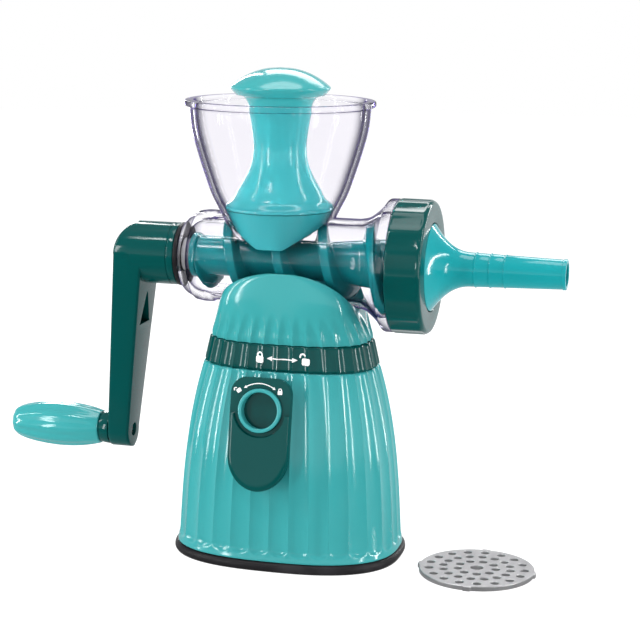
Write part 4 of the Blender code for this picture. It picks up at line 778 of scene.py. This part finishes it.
def make_crank(finish):
    """Crank arm: a rounded bar section carried from the grip to the hub, a hub, a pocket and bores."""
    top = AXIS_Z + HUB_R * np.sin(np.linspace(0.04, 1.0, 16) * math.pi / 2 * 0.985)
    foot = GRIP_Z - ARM_R * np.sin(np.linspace(1.0, 0.0, 14) * math.pi / 2 * 0.985)
    z = np.concatenate([foot, np.linspace(GRIP_Z + 3.0, AXIS_Z, 24), top])
    outer, inner, half = arm_rows(z)
    corner = np.linspace(0.0, math.pi / 2, 6)
    edge = np.minimum(1.7, half * 0.5)
    sides = []
    for sx, sy in ((1, -1), (1, 1), (-1, 1), (-1, -1)):
        sweep = corner if sx * sy > 0 else corner[::-1]
        face = inner if sx > 0 else outer
        x = face[:, None] - sx * edge[:, None] * (1 - np.cos(sweep))[None, :]
        y = sy * (half[:, None] - edge[:, None] * (1 - np.sin(sweep))[None, :])
        sides.append(np.stack([x, y, np.broadcast_to(z[:, None], x.shape)], axis=-1))
    arm = solid("crank", np.concatenate(sides, axis=1), sharp=40.0)
    hub_end = REAR_X - 2 * GAP - 2.3
    hub = solid("hub", turned(stop(rounded([(ARM_TOP_X + 10.0, HUB_R), (-79.0, HUB_R),
                                            (-61.0, HUB_R), (-60.7, HUB_R - 0.5, 0.3),
                                            (-60.3, HUB_R, 0.3), (hub_end, HUB_R, 0.7),
                                            (hub_end, 8.0)])), count=128))
    carve(arm, "UNION", hub, sharp=40.0)
    socket = solid("hub_socket", turned(stop([(-84.4, HEX_R), (hub_end + 1.0, HEX_R)]), count=6))
    well = solid("bolt_well", turned(stop([(ARM_TOP_X - 5.0, 6.4), (-86.4, 6.4), (-86.4, SCREW_R),
                                           (-84.2, SCREW_R)]), count=48))
    low, high = AXIS_Z - 41.0, AXIS_Z - 23.0
    inner_face = float(arm_rows(np.float64((low + high) / 2))[1])
    ring = np.array([(-8.2, low), (8.2, low), (7.2, low + 1.2), (0.8, high), (-0.8, high),
                     (-7.2, low + 1.2)])
    pocket = solid("arm_pocket", [np.column_stack([np.full(6, x), ring])
                                  for x in (inner_face - 7.0, inner_face + 6.0)])
    face = float(arm_rows(np.float64(GRIP_Z))[1])
    bore = solid("grip_bore", turned(stop([(ARM_FOOT_X - 3.0, SCREW_R), (face - 4.0, SCREW_R),
                                           (face - 4.0, 3.9), (face + 2.0, 3.9)]),
                                     at=(0.0, GRIP_Z), count=48))
    carve(arm, "DIFFERENCE", socket, well, pocket, bore, sharp=40.0)
    return wear(arm, finish, "crank", "crank_arm")


def make_grip(finish, dark):
    """Grip: a barrel curve with ten shallow flats that meet in soft ridges, and its collar."""
    near, far = GRIP_NEAR, GRIP_FAR
    shape = np.array([(0.0, 0.74), (0.05, 0.80), (0.16, 0.90), (0.30, 0.975), (0.44, 1.0),
                      (0.60, 0.97), (0.76, 0.89), (0.88, 0.78), (0.95, 0.67), (0.985, 0.55),
                      (1.0, 0.42)])
    curve = flowing(shape, 60)
    path = np.column_stack([near + (far - near) * curve[:, 0], GRIP_R * curve[:, 1]])
    edge = rounded([(near, SCREW_R), (near, path[0, 1], 0.6), path[1]])[:-1]
    path = np.vstack([edge, path[1:], [(far, 3.4), (far + 1.2, 3.0)]])

    def lobes(x, turn):
        share = smooth_step(x, near, near - 9.0)
        return 1.0 - (0.012 + 0.045 * share) * (1.0 - np.abs(np.cos(5 * turn)) ** 1.4)
    grip = solid("handle", turned(stop(path), at=(0.0, GRIP_Z), count=160, wave=lobes), sharp=45.0)
    carve(grip, "DIFFERENCE", rod("grip_core", near + 1.0, near - 38.9, SCREW_R, at=(0.0, GRIP_Z)),
          sharp=45.0)
    wear(grip, finish, "grip", "grip")
    start, end = ARM_FOOT_X - GAP, ARM_FOOT_X - GAP - 6.0
    collar = solid("handle_collar", turned(rounded([(start, 2.4), (start, 9.3, 0.4),
                                                    (start - 3.0, 9.1, 1.0), (end, 8.6, 0.5),
                                                    (end, 2.4)]), at=(0.0, GRIP_Z), count=96),
                   loop=True)
    wear(collar, dark, "crank", "grip_collar")


# ---------------------------------------------------------------- cutting end

def make_nut(finish):
    """Ring nut: broad shallow scallops round it, a chamfered front and a bore over the collar."""
    bore, hole = COLLAR_R + 0.4, NUT_HOLE_R
    back = NUT_FACE - 4.2
    path = rounded([(NUT_X, bore), (NUT_X, NUT_R - 0.7, 0.3), (NUT_X + 0.9, NUT_R, 0.6),
                    (NUT_FACE - 2.2, NUT_R - 0.1, 0.8), (NUT_FACE - 0.4, NUT_R - 1.2, 0.7),
                    (NUT_FACE, NUT_R - 2.2, 0.5),
                    (NUT_FACE, hole, 0.5), (back, hole, 0.3), (back, bore, 0.4)], 5)

    def ridges(x, turn):
        reach = smooth_step(x, NUT_X + 0.4, NUT_X + 1.6) * (1 - smooth_step(x, NUT_FACE - 3.0,
                                                                            NUT_FACE - 1.0))
        return 1.0 - 0.022 * reach * (1.0 - np.abs(np.cos(9 * turn)) ** 3)
    grid = turned(path, count=288, wave=ridges)
    inner = np.hypot(grid[..., 1], grid[..., 2] - AXIS_Z) < bore + 0.05
    plain = turned(path, count=288)
    grid[inner] = plain[inner]
    nut = solid("ring_nut", grid, loop=True, sharp=45.0)
    return wear(nut, finish, "nut", "retaining_nut")


def make_nozzle(finish):
    """Nozzle: a flange behind the nut, a hollowed cone and a tube with three raised rings."""
    face = NUT_FACE
    tip = NOZZLE_END

    def cone(t):
        return TUBE_R + (CONE_R - TUBE_R) * (1.0 - t) ** 2.3
    t = np.linspace(0.0, 1.0, 34)
    flare = np.column_stack([face + CONE_LENGTH * t, cone(t)])
    tube_from = face + CONE_LENGTH
    rings = []
    for at in (tube_from + 2.0, tube_from + 10.0, tube_from + 18.0):
        r = TUBE_R - 1.3 * (at - tube_from) / (tip - tube_from)
        rings += [(at - 0.7, r), (at - 0.35, r + 0.28), (at, r + 0.36), (at + 0.35, r + 0.28),
                  (at + 0.7, r)]
    flange = rounded([(NOZZLE_X, 22.0), (NOZZLE_X, 31.6, 0.3), (NOZZLE_X + 2.5, 31.6, 0.3),
                      (NOZZLE_X + 2.5, CONE_R, 0.6), (face, CONE_R)])
    end = rounded([(tip - 2.2, 8.05), (tip - 1.9, 8.35, 0.2), (tip, 8.3, 0.4), (tip, 6.3, 0.3),
                   (tip - 1.0, 6.3)])
    inner = np.column_stack([face + CONE_LENGTH * t[::-1], cone(t[::-1]) - 1.7])
    path = np.vstack([flange[:-1], flare, rings, end, inner])
    nozzle = solid("stuffing_tube", turned(path, count=128), loop=True, sharp=40.0)
    return wear(nozzle, finish, "nozzle", "nozzle")


# Number of holes, radius of their circle, radius of a hole, and the first one's angle in degrees.
COARSE_HOLES = ((1, 0.0, 3.5, 0.0), (6, 12.2, 4.4, 0.0), (6, 22.8, 4.4, 30.0))
FINE_HOLES = ((1, 0.0, 3.5, 0.0), (9, 10.6, 2.3, 0.0), (16, 18.6, 2.3, 0.0), (17, 26.2, 2.3, 5.0))


def make_plate(name, node, body, finish, hole_rings, along, at):
    """Perforated plate: a disc with four lugs, its rims eased, its holes cut through."""
    low, high = span(node, 0 if along == "X" else 2)
    turn = np.linspace(0.0, TAU, 360, endpoint=False)
    away = np.abs((np.degrees(turn) + 45.0) % 90.0 - 45.0)
    r = PLATE_R + 1.0 * (1 - smooth_step(away, 3.0, 4.6))
    rows = []
    for w, inset in ((low, EASE), (low + EASE, 0.0), (high - EASE, 0.0), (high, EASE)):
        u, v = (r - inset) * np.cos(turn), (r - inset) * np.sin(turn)
        w = np.full(u.shape, w)
        rows.append(np.stack([w, at[0] + u, at[1] + v] if along == "X"
                             else [at[0] + u, at[1] + v, w], axis=-1))
    plate = solid(name, rows, sharp=25.0)
    cutters = []
    for number, circle_r, hole_r, first in hole_rings:
        for k in range(number):
            angle = math.radians(first + 360.0 * k / number)
            spot = (at[0] + circle_r * math.cos(angle), at[1] + circle_r * math.sin(angle))
            wide = hole_r + (1.0 + EASE)
            path = [(low - 1.0, wide), (low + EASE, hole_r), (high - EASE, hole_r),
                    (high + 1.0, wide)]
            cutters.append(solid(f"{name}_hole_{len(cutters)}",
                                 turned(stop(path), along, spot, 36 if hole_r > 3 else 24)))
    carve(plate, "DIFFERENCE", *cutters, sharp=25.0)
    return wear(plate, finish, body, node)


# ---------------------------------------------------------------- pusher

def make_pusher(finish):
    """Pusher: a mushroom knob, a waisted hollow neck and a bell that closes on the plug."""
    top, rim, neck = KNOB_TOP, PUSHER_RIM, 15.0
    r_rim = float(hopper_r(rim)) - PUSHER_WALL
    cap = flowing([(top, 0.0), (top - 0.9, 9.0), (top - 3.7, 17.3), (top - 7.4, 23.6),
                   (top - 10.2, 27.2)], 26)
    under = rounded([(top - 10.2, 27.2), (top - 10.9, 27.5, 0.5), (top - 11.8, 27.0, 0.5),
                     (top - 14.8, 24.4)])
    waist = flowing([(top - 14.8, 24.4), (top - 15.8, neck + 5.4), (top - 18.5, neck + 3.2),
                     (top - 26.0, neck + 1.8), (top - 34.0, neck + 0.5), (top - 45.0, neck - 0.4),
                     (top - 52.4, neck + 0.7), (top - 58.5, neck + 3.2), (top - 66.0, neck + 7.4),
                     (rim + 5.0, r_rim - 4.2), (rim + 3.0, r_rim - 1.6)], 60)
    lip = rounded([waist[-1], (rim + 2.2, r_rim - 0.6, 0.6), (rim + 1.2, r_rim, 0.6),
                   (rim, r_rim, 0.4), (rim, r_rim - 2.4, 0.3), (rim + 3.0, r_rim - 4.2)])
    inner = flowing([(rim + 5.0, r_rim - 6.4), (top - 66.0, neck + 5.0), (top - 58.5, neck + 0.8),
                     (top - 45.0, neck - 2.4), (top - 24.0, neck - 1.4), (top - 15.0, 4.0),
                     (top - 14.6, 0.0)], 40)
    path = np.vstack([cap[:-1], under[:-1], waist[:-1], lip, inner])
    body = solid("pusher", turned(path, "Z", count=144), sharp=40.0)
    wear(body, finish, "pusher", "pusher_body")
    seam = PLUG_TOP - 2.6
    steps = np.linspace(AXIS_Z + 8.0, seam, 30)
    sides = np.column_stack([steps, hopper_r(steps) - PUSHER_WALL])
    ridge = r_rim - 2.4 - 1.5
    shut = rounded([(seam, sides[-1, 1] - 0.2), (seam, ridge), (seam + 2.6, ridge - 1.2, 0.6),
                    (seam + 2.6, 1.0)])
    plug = solid("pusher_end", turned(stop(np.vstack([sides, shut])), "Z", count=144), sharp=40.0)
    carve(plug, "DIFFERENCE", rod("plug_saddle", -60.0, 60.0, BORE_R + 0.5, count=128), sharp=40.0)
    wear(plug, finish, "pusher", "pusher_plug")


# ---------------------------------------------------------------- lever

def lever_place():
    """Frame of the lever on its axis: x right, y up its face, z out of the casing."""
    joint = next(j for j in frame["joints"] if j["name"] == "lever_turn")
    out = Vector((0.0, -math.cos(LEVER_TILT), math.sin(LEVER_TILT)))
    up = Vector((0.0, math.sin(LEVER_TILT), math.cos(LEVER_TILT)))
    turn = Matrix((Vector((1.0, 0.0, 0.0)), up, out)).transposed().to_4x4()
    return Matrix.Translation(Vector(joint["pos_m"])) @ turn


LEVER_PLACE = lever_place()


def lever_outline(inset, count=16):
    """The plate's edge: a flat top with round corners, straight sides and a half-oval tail."""
    corner, tail, half, top, reach = 9.0, 20.0, 17.0, 17.8, 44.0
    quarter = np.linspace(0.0, math.pi / 2, count)
    right = np.column_stack([half - corner + (corner - inset) * np.cos(quarter),
                             top - corner + (corner - inset) * np.sin(quarter)])
    left = right[::-1] * (-1, 1)
    low = np.linspace(math.pi, TAU, count * 3)
    bottom = np.column_stack([(half - inset) * np.cos(low),
                              tail - reach + (tail - inset) * np.sin(low)])
    return np.vstack([right, left, bottom])


def make_lever(dark, turquoise, ink):
    """Lever plate with a round well, a raised thumb pad, its turned ring and printed marks."""
    thick, pad = 5.0, 2.0
    top = thick + pad
    path = rounded([(0.8, 0.0), (0.0, 1.0, 0.6), (0.0, top - 1.6, 1.2), (0.5, top - 0.4, 0.5),
                    (2.0, top, 0.6), (4.0, top + 0.05)], 5)
    rows = [np.column_stack([lever_outline(inset), np.full(80, z)]) for inset, z in path]
    lever = solid("lever", rows, sharp=35.0, place=LEVER_PLACE)
    step = solid("lever_step", turned(stop([(thick, 14.2), (thick + 0.3, 14.4),
                                            (top + 2.0, 15.0)]), "Z", count=96), place=LEVER_PLACE)
    upper = box_solid("lever_upper", (-30.0, -2.0, thick), (30.0, 40.0, top + 2.0), LEVER_PLACE)
    well = solid("lever_well", turned(stop([(1.6, 12.2), (thick - 0.3, 12.2), (top + 2.0, 12.6)]),
                                      "Z", count=96), place=LEVER_PLACE)
    carve(lever, "DIFFERENCE", step, upper, well, sharp=35.0)
    carve(lever, "UNION", rod("lever_peg", -7.0, 1.0, 7.6, "Z", count=64, place=LEVER_PLACE),
          sharp=35.0)
    carve(lever, "DIFFERENCE", box_solid("lever_socket", (-4.3, -4.3, -20.0), (4.3, 4.3, -1.0),
                                         LEVER_PLACE), sharp=35.0)
    wear(lever, dark, "lever", "lock_lever")
    inner = 12.0 - 2.1
    path = rounded([(1.9, inner), (1.9, 12.0), (7.4, 12.0, 0.7), (7.4, inner + 0.2, 0.6),
                    (6.6, inner, 0.4)])
    ring = solid("lever_collar", turned(path, "Z", count=128), loop=True, place=LEVER_PLACE)
    wear(ring, turquoise, "lever", "lever_ring")

    def face(u, v, h):
        return np.stack([u, v, np.full(u.shape, thick + h)], axis=-1)
    centre, r = (-0.8, 0.0), 14.6
    marks = [arc_strip(centre, r, 0.26, 59.0, 121.0)]
    for angle, way in ((59.0, -1), (121.0, 1)):
        marks.append(arrow_head(centre, r, angle, way, 0.85, 1.5))
    marks += lock_patches((-12.6, 10.4), 0.5, True, 38.0) + lock_patches((10.6, 10.6), 0.5, False)
    decal("lever_marks", marks, face, ink, "lever", LEVER_PLACE)


# ---------------------------------------------------------------- printed marks

def arc_strip(centre, r, half, first, last, count=28):
    """A strip of even width along an arc."""
    turn = np.radians(np.linspace(first, last, count))[:, None]
    radius = r + np.array((-half, half))[None, :]
    return np.stack([centre[0] + radius * np.cos(turn), centre[1] + radius * np.sin(turn)], axis=-1)


def arrow_head(centre, r, angle, way, half, length):
    """A triangle at the end of an arc, pointing on along it."""
    turn = math.radians(angle)
    end = np.array((centre[0] + r * math.cos(turn), centre[1] + r * math.sin(turn)))
    on = np.array((-math.sin(turn), math.cos(turn))) * way
    side = np.array((math.cos(turn), math.sin(turn)))
    share = np.linspace(0.0, 1.0, 6)[:, None, None]
    across = np.linspace(-1.0, 1.0, 3)[None, :, None]
    return end + on * length * share + side * half * (1 - share * 0.94) * across


def line_strip(start, end, half, count=24):
    """A straight strip between two points, with one half width all the way."""
    start, end = np.array(start, float), np.array(end, float)
    on = (end - start) / np.linalg.norm(end - start)
    side = np.array((-on[1], on[0])) * half
    share = np.linspace(0.0, 1.0, count)[:, None, None]
    return start + (end - start) * share + side * np.array((-1.0, 1.0))[None, :, None]


def lock_patches(centre, size, is_open, turn=0.0):
    """A padlock: a rounded body under a half ring that is swung aside when it is open."""
    y = np.linspace(-2.7, 1.6, 12)[:, None]
    x = np.linspace(-1.0, 1.0, 9)[None, :]
    pinch = 1 - 0.22 * smooth_step(np.abs(y + 0.55), 1.4, 2.15)
    body = np.stack(np.broadcast_arrays(x * 2.6 * pinch, y), axis=-1)
    shift = np.array((2.2, 0.5)) if is_open else np.zeros(2)
    hoop = arc_strip((0.0, 2.2), 1.6, 0.5, 10.0 if is_open else 0.0, 180.0, 18) + shift * (-1, 1)
    legs = [line_strip((-1.6, 1.4), (-1.6, 2.25), 0.5, 4) + shift * (-1, 1)]
    if not is_open:
        legs.append(line_strip((1.6, 1.4), (1.6, 2.25), 0.5, 4))
    angle = math.radians(turn)
    spin = np.array(((math.cos(angle), math.sin(angle)), (-math.sin(angle), math.cos(angle))))
    return [np.array(centre) + size * (patch @ spin) for patch in (body, hoop, *legs)]


def decal(name, patches, surface, finish, body, place=None):
    """Thin closed slabs laid on a surface; surface(u, v, h) is the point h above it."""
    points, faces, start = [], [], 0
    for patch in patches:
        rows, cols = patch.shape[:2]
        u, v = patch[..., 0], patch[..., 1]
        edge = np.concatenate([np.arange(cols), cols * np.arange(1, rows) + cols - 1,
                               cols * (rows - 1) + np.arange(cols - 2, -1, -1),
                               cols * np.arange(rows - 2, 0, -1)])
        for h in (0.14, -0.25):
            points.append(surface(u, v, h).reshape(-1, 3))
        r, c = np.arange(rows - 1)[:, None] * cols, np.arange(cols - 1)[None, :]
        top = np.stack([r + c, r + c + 1, r + c + 1 + cols, r + c + cols], axis=-1).reshape(-1, 4)
        count = rows * cols
        ring = np.stack([edge, np.roll(edge, -1), np.roll(edge, -1) + count, edge + count], axis=-1)
        faces += (np.vstack([top, top[:, ::-1] + count, ring]) + start).tolist()
        start += 2 * count
    piece = mesh_object(name, np.vstack(points), faces, 30.0, place)
    piece.data.materials.append(finish)
    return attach(piece, body)


def make_band_marks(ink):
    """Closed lock, double arrow and open lock on the front of the band, following its flutes."""
    front = np.where(UY < -0.3)[0]
    order = front[np.argsort(UX[front])]

    def surface(u, v, h):
        a, b = band_half(v.ravel()[:, None])
        inward = flute_depth(v.ravel()[:, None]) * GROOVE * 0.9
        x = (BASE_X + a * UX - inward * NX)[:, order]
        y = (b * UY - inward * NY)[:, order]
        found = np.array([np.interp(p, xs, ys) for p, xs, ys in zip(u.ravel(), x, y)])
        return np.stack([u, found.reshape(u.shape) - h, v], axis=-1)
    z = (BAND_LOW + BAND_TOP) / 2 - 0.2
    marks = [line_strip((4.2, z), (16.6, z), 0.3, 60)]
    for tip, way in ((1.9, 1.0), (19.0, -1.0)):
        share = np.linspace(0.0, 1.0, 9)[:, None]
        across = np.linspace(-1.0, 1.0, 3)[None, :]
        marks.append(np.stack(np.broadcast_arrays(tip + way * 2.8 * share,
                                                  z + across * (0.06 + 1.25 * share)), axis=-1))
    marks += lock_patches((-2.2, z - 0.2), 0.86, False) + lock_patches((23.6, z - 0.2), 0.86, True)
    decal("band_marks", marks, surface, ink, "base")


# ---------------------------------------------------------------- small pieces

def make_seal(finish):
    """Seal ring: a flat washer between the barrel's rear and the crank's hub."""
    low, high = span("seal_ring", 0)
    path = rounded([(low, 6.95), (low, 17.9, 0.5), (high, 17.9, 0.5), (high, 6.95)])
    seal = solid("hub_seal", turned(path, count=128), loop=True)
    wear(seal, finish, "head", "seal_ring")


def make_cup(finish):
    """Suction cup: a thin bell with a rounded lip and a stem."""
    outer = flowing([(0.4, 37.4), (1.9, 37.2), (3.1, 35.4), (6.4, 26.0), (9.6, 14.0), (10.7, 7.0)], 30)
    stem = rounded([(10.7, 7.0), (17.0, 7.0, 0.8), (17.0, 3.3, 0.4), (12.0, 3.3), (12.0, 0.0)])
    under = flowing([(7.5, 0.0), (7.2, 12.0), (3.6, 26.0), (0.6, 35.8)], 26)
    path = np.vstack([under, outer, stem[1:]])
    cup = solid("cup", turned(path, "Z", (BASE_X, 0.0), 96), sharp=50.0)
    wear(cup, finish, "pull_rod", "suction_cup")
    shorten(cup)


def shorten(piece):
    """Gives the piece a copy of its mesh that no other object shares."""
    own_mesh(piece)


def make_spring(finish):
    """Coil spring: a round wire along a helix whose rise eases out to closed turns at both ends."""
    wire, turns, steps = 0.8, 7.0, 220
    low, high = span("cup_spring", 2)
    left, right = span("cup_spring", 0)
    reach = (right - left) / 2 - wire
    share = np.linspace(0.0, 1.0, steps)[:, None]
    rise = 0.6 * smooth_step(share, 0.04, 0.96) + 0.4 * share
    turn = TAU * turns * share
    ring = np.linspace(0.0, TAU, 10, endpoint=False)[None, :]
    r = reach + wire * np.cos(ring)
    z = low + wire + (high - low - 2 * wire) * rise + wire * np.sin(ring)
    grid = np.stack(np.broadcast_arrays(BASE_X + r * np.cos(turn), r * np.sin(turn), z), axis=-1)
    spring = solid("spring", grid, sharp=60.0)
    wear(spring, finish, "pull_rod", "cup_spring")
    shorten(spring)


def wear(piece, finish, body, node):
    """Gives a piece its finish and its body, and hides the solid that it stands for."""
    piece.data.materials.clear()
    piece.data.materials.append(finish)
    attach(piece, body)
    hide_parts(node)
    return piece


# ---------------------------------------------------------------- studio

# Name, place and size in metres, and watts of each lamp.
LAMPS = (("strip_left", (-0.85, -0.36, 0.42), (0.04, 0.95), 5.0),
         ("strip_right", (0.88, 0.05, 0.42), (0.04, 0.95), 5.0),
         ("front_left", (-0.63, -0.90, 0.30), (0.10, 0.60), 3.4),
         ("front_right", (0.86, -0.44, 0.26), (0.035, 0.5), 2.0),
         ("top_soft", (0.0, 0.05, 1.00), (0.6, 0.4), 3.0),
         ("back_top", (-0.08, 0.92, 0.95), (0.7, 0.42), 5.5),
         ("top_strip", (-0.28, -0.50, 0.95), (0.26, 0.10), 2.4),
         ("back_left", (-0.5, 0.85, 0.5), (0.05, 0.9), 2.4),
         ("back_right", (0.45, 0.90, 0.5), (0.05, 0.9), 2.4))
LAMP_AIM = Vector((0.02, 0.0, 0.15))
TABLE_R, TABLE_SIDES, TABLE_Z = 3000, 96, -0.05
# How high a direction points, from level or below (0) to straight up (1), and the colour there.
SURROUND = ((0.0, (0.95, 0.95, 0.96)), (0.16, (0.80, 0.80, 0.82)), (0.34, (0.36, 0.36, 0.38)),
            (0.7, (0.30, 0.30, 0.32)), (1.0, (0.60, 0.60, 0.62)))


def make_surround():
    """World: white to the camera, and shaded by height where it lights or is mirrored."""
    t = Tree("studio", "worlds")
    bpy.context.scene.world = t.owner
    height = t.node("ShaderNodeSeparateXYZ", {}, {0: t.node("ShaderNodeTexCoord", {}, {})[0]})[2]
    shade = t.node("ShaderNodeValToRGB", {"stops": SURROUND}, {0: height})[0]
    lit = t.node("ShaderNodeBackground", {}, {0: shade})[0]
    seen = t.node("ShaderNodeBackground", {}, {0: (1.0, 1.0, 1.0)})[0]
    mix = t.node("ShaderNodeMixShader", {}, {0: t.path("Is Camera Ray"), 1: lit, 2: seen})[0]
    t.node("ShaderNodeOutputWorld", {}, {0: mix})


def make_studio():
    """White table, its surround, strips at the sides, in front and behind, and soft lamps above."""
    make_surround()
    turn = np.linspace(0.0, TAU, TABLE_SIDES, endpoint=False)
    rim = np.column_stack([TABLE_R * np.cos(turn), TABLE_R * np.sin(turn),
                           np.full(TABLE_SIDES, TABLE_Z)])
    table = mesh_object("table", rim, [list(range(TABLE_SIDES))])
    table.data.materials.append(pale_table("table_top"))
    for name, place, (width, height), watts in LAMPS:
        lamp = bpy.data.lights.new(name, "AREA")
        lamp.shape = "RECTANGLE"
        lamp.size, lamp.size_y, lamp.energy = width, height, watts
        holder = bpy.data.objects.new(name, lamp)
        holder.location = place
        holder.rotation_euler = (LAMP_AIM - Vector(place)).to_track_quat("-Z", "Y").to_euler()
        bpy.context.scene.collection.objects.link(holder)


CAMERA_AT, CAMERA_AIM = (273.4, -953.9, 328.8), (23.8, 0.0, 132.3)
CAMERA_ROLL = math.radians(0.73)
SENSOR, FOCAL_LENGTH, FAR_CLIP = 36.0, 102.04, 20.0


def make_camera():
    """Camera in front and a little to the nozzle's side, looking slightly down."""
    place, target = Vector(CAMERA_AT) * MM, Vector(CAMERA_AIM) * MM
    back = (place - target).normalized()
    right = Vector((0.0, 0.0, 1.0)).cross(back).normalized()
    up = back.cross(right)
    c, s = math.cos(CAMERA_ROLL), math.sin(CAMERA_ROLL)
    right, up = right * c + up * s, up * c - right * s
    lens = bpy.data.cameras.new("camera")
    lens.sensor_width, lens.lens, lens.clip_end = SENSOR, FOCAL_LENGTH, FAR_CLIP
    camera = bpy.data.objects.new("camera", lens)
    camera.matrix_world = Matrix.Translation(place) @ Matrix((right, up, back)).transposed().to_4x4()
    bpy.context.scene.collection.objects.link(camera)
    bpy.context.scene.camera = camera


# ---------------------------------------------------------------- assembly

def main():
    """The finishes, every piece in its place, then the studio and the camera."""
    turquoise = glossy_plastic("turquoise_plastic", (0.026, 0.26, 0.265), (0.042, 0.345, 0.355))
    deep_teal = glossy_plastic("deep_teal_plastic", (0.001, 0.10, 0.105), (0.004, 0.17, 0.18))
    vivid = glossy_plastic("nozzle_plastic", (0.003, 0.245, 0.27), (0.008, 0.32, 0.345), 0.1, 0.4)
    dark = glossy_plastic("dark_green_plastic", (0.0, 0.046, 0.043), (0.0, 0.066, 0.062), 0.09, 0.25)
    clear = clear_plastic("clear_plastic")
    black = rubber("black_rubber")
    plate_steel = brushed_steel("plate_steel", (0.0, 0.0, 0.9), 0.45)
    bar_steel = brushed_steel("bar_steel", (0.0, 1.57, 0.0), 0.45)
    zinc = plated_steel("zinc_plate")
    white = nylon("white_nylon")
    ink = print_ink("white_ink")

    make_casing(turquoise)
    make_foot(black)
    make_band(dark)
    make_band_marks(ink)
    make_dome(turquoise)
    make_lever(dark, turquoise, ink)
    make_cup(black)
    make_spring(zinc)
    make_clear_housing(clear)
    make_seal(black)
    make_auger(deep_teal)
    make_crank(dark)
    make_grip(turquoise, dark)
    make_nut(dark)
    make_nozzle(vivid)
    make_pusher(turquoise)
    make_plate("cutting_plate", "coarse_plate", "head", bar_steel, COARSE_HOLES, "X", (0.0, AXIS_Z))
    middle = sum(span("fine_plate", 0)) / 2, sum(span("fine_plate", 1)) / 2
    make_plate("spare_plate", "fine_plate", "spare_plate", plate_steel, FINE_HOLES, "Z", middle)

    finishes = {"drive_shaft": bar_steel, "knife": bar_steel, "cam": white, "rear_bush": white,
                "base_plate": dark, "bayonet_spigot": dark}
    for name, node in frame["nodes"].items():
        node.data.materials.clear()
        node.data.materials.append(finishes.get(name, zinc))

    make_studio()
    make_camera()
    bpy.context.scene.view_settings.view_transform = "Standard"


main()
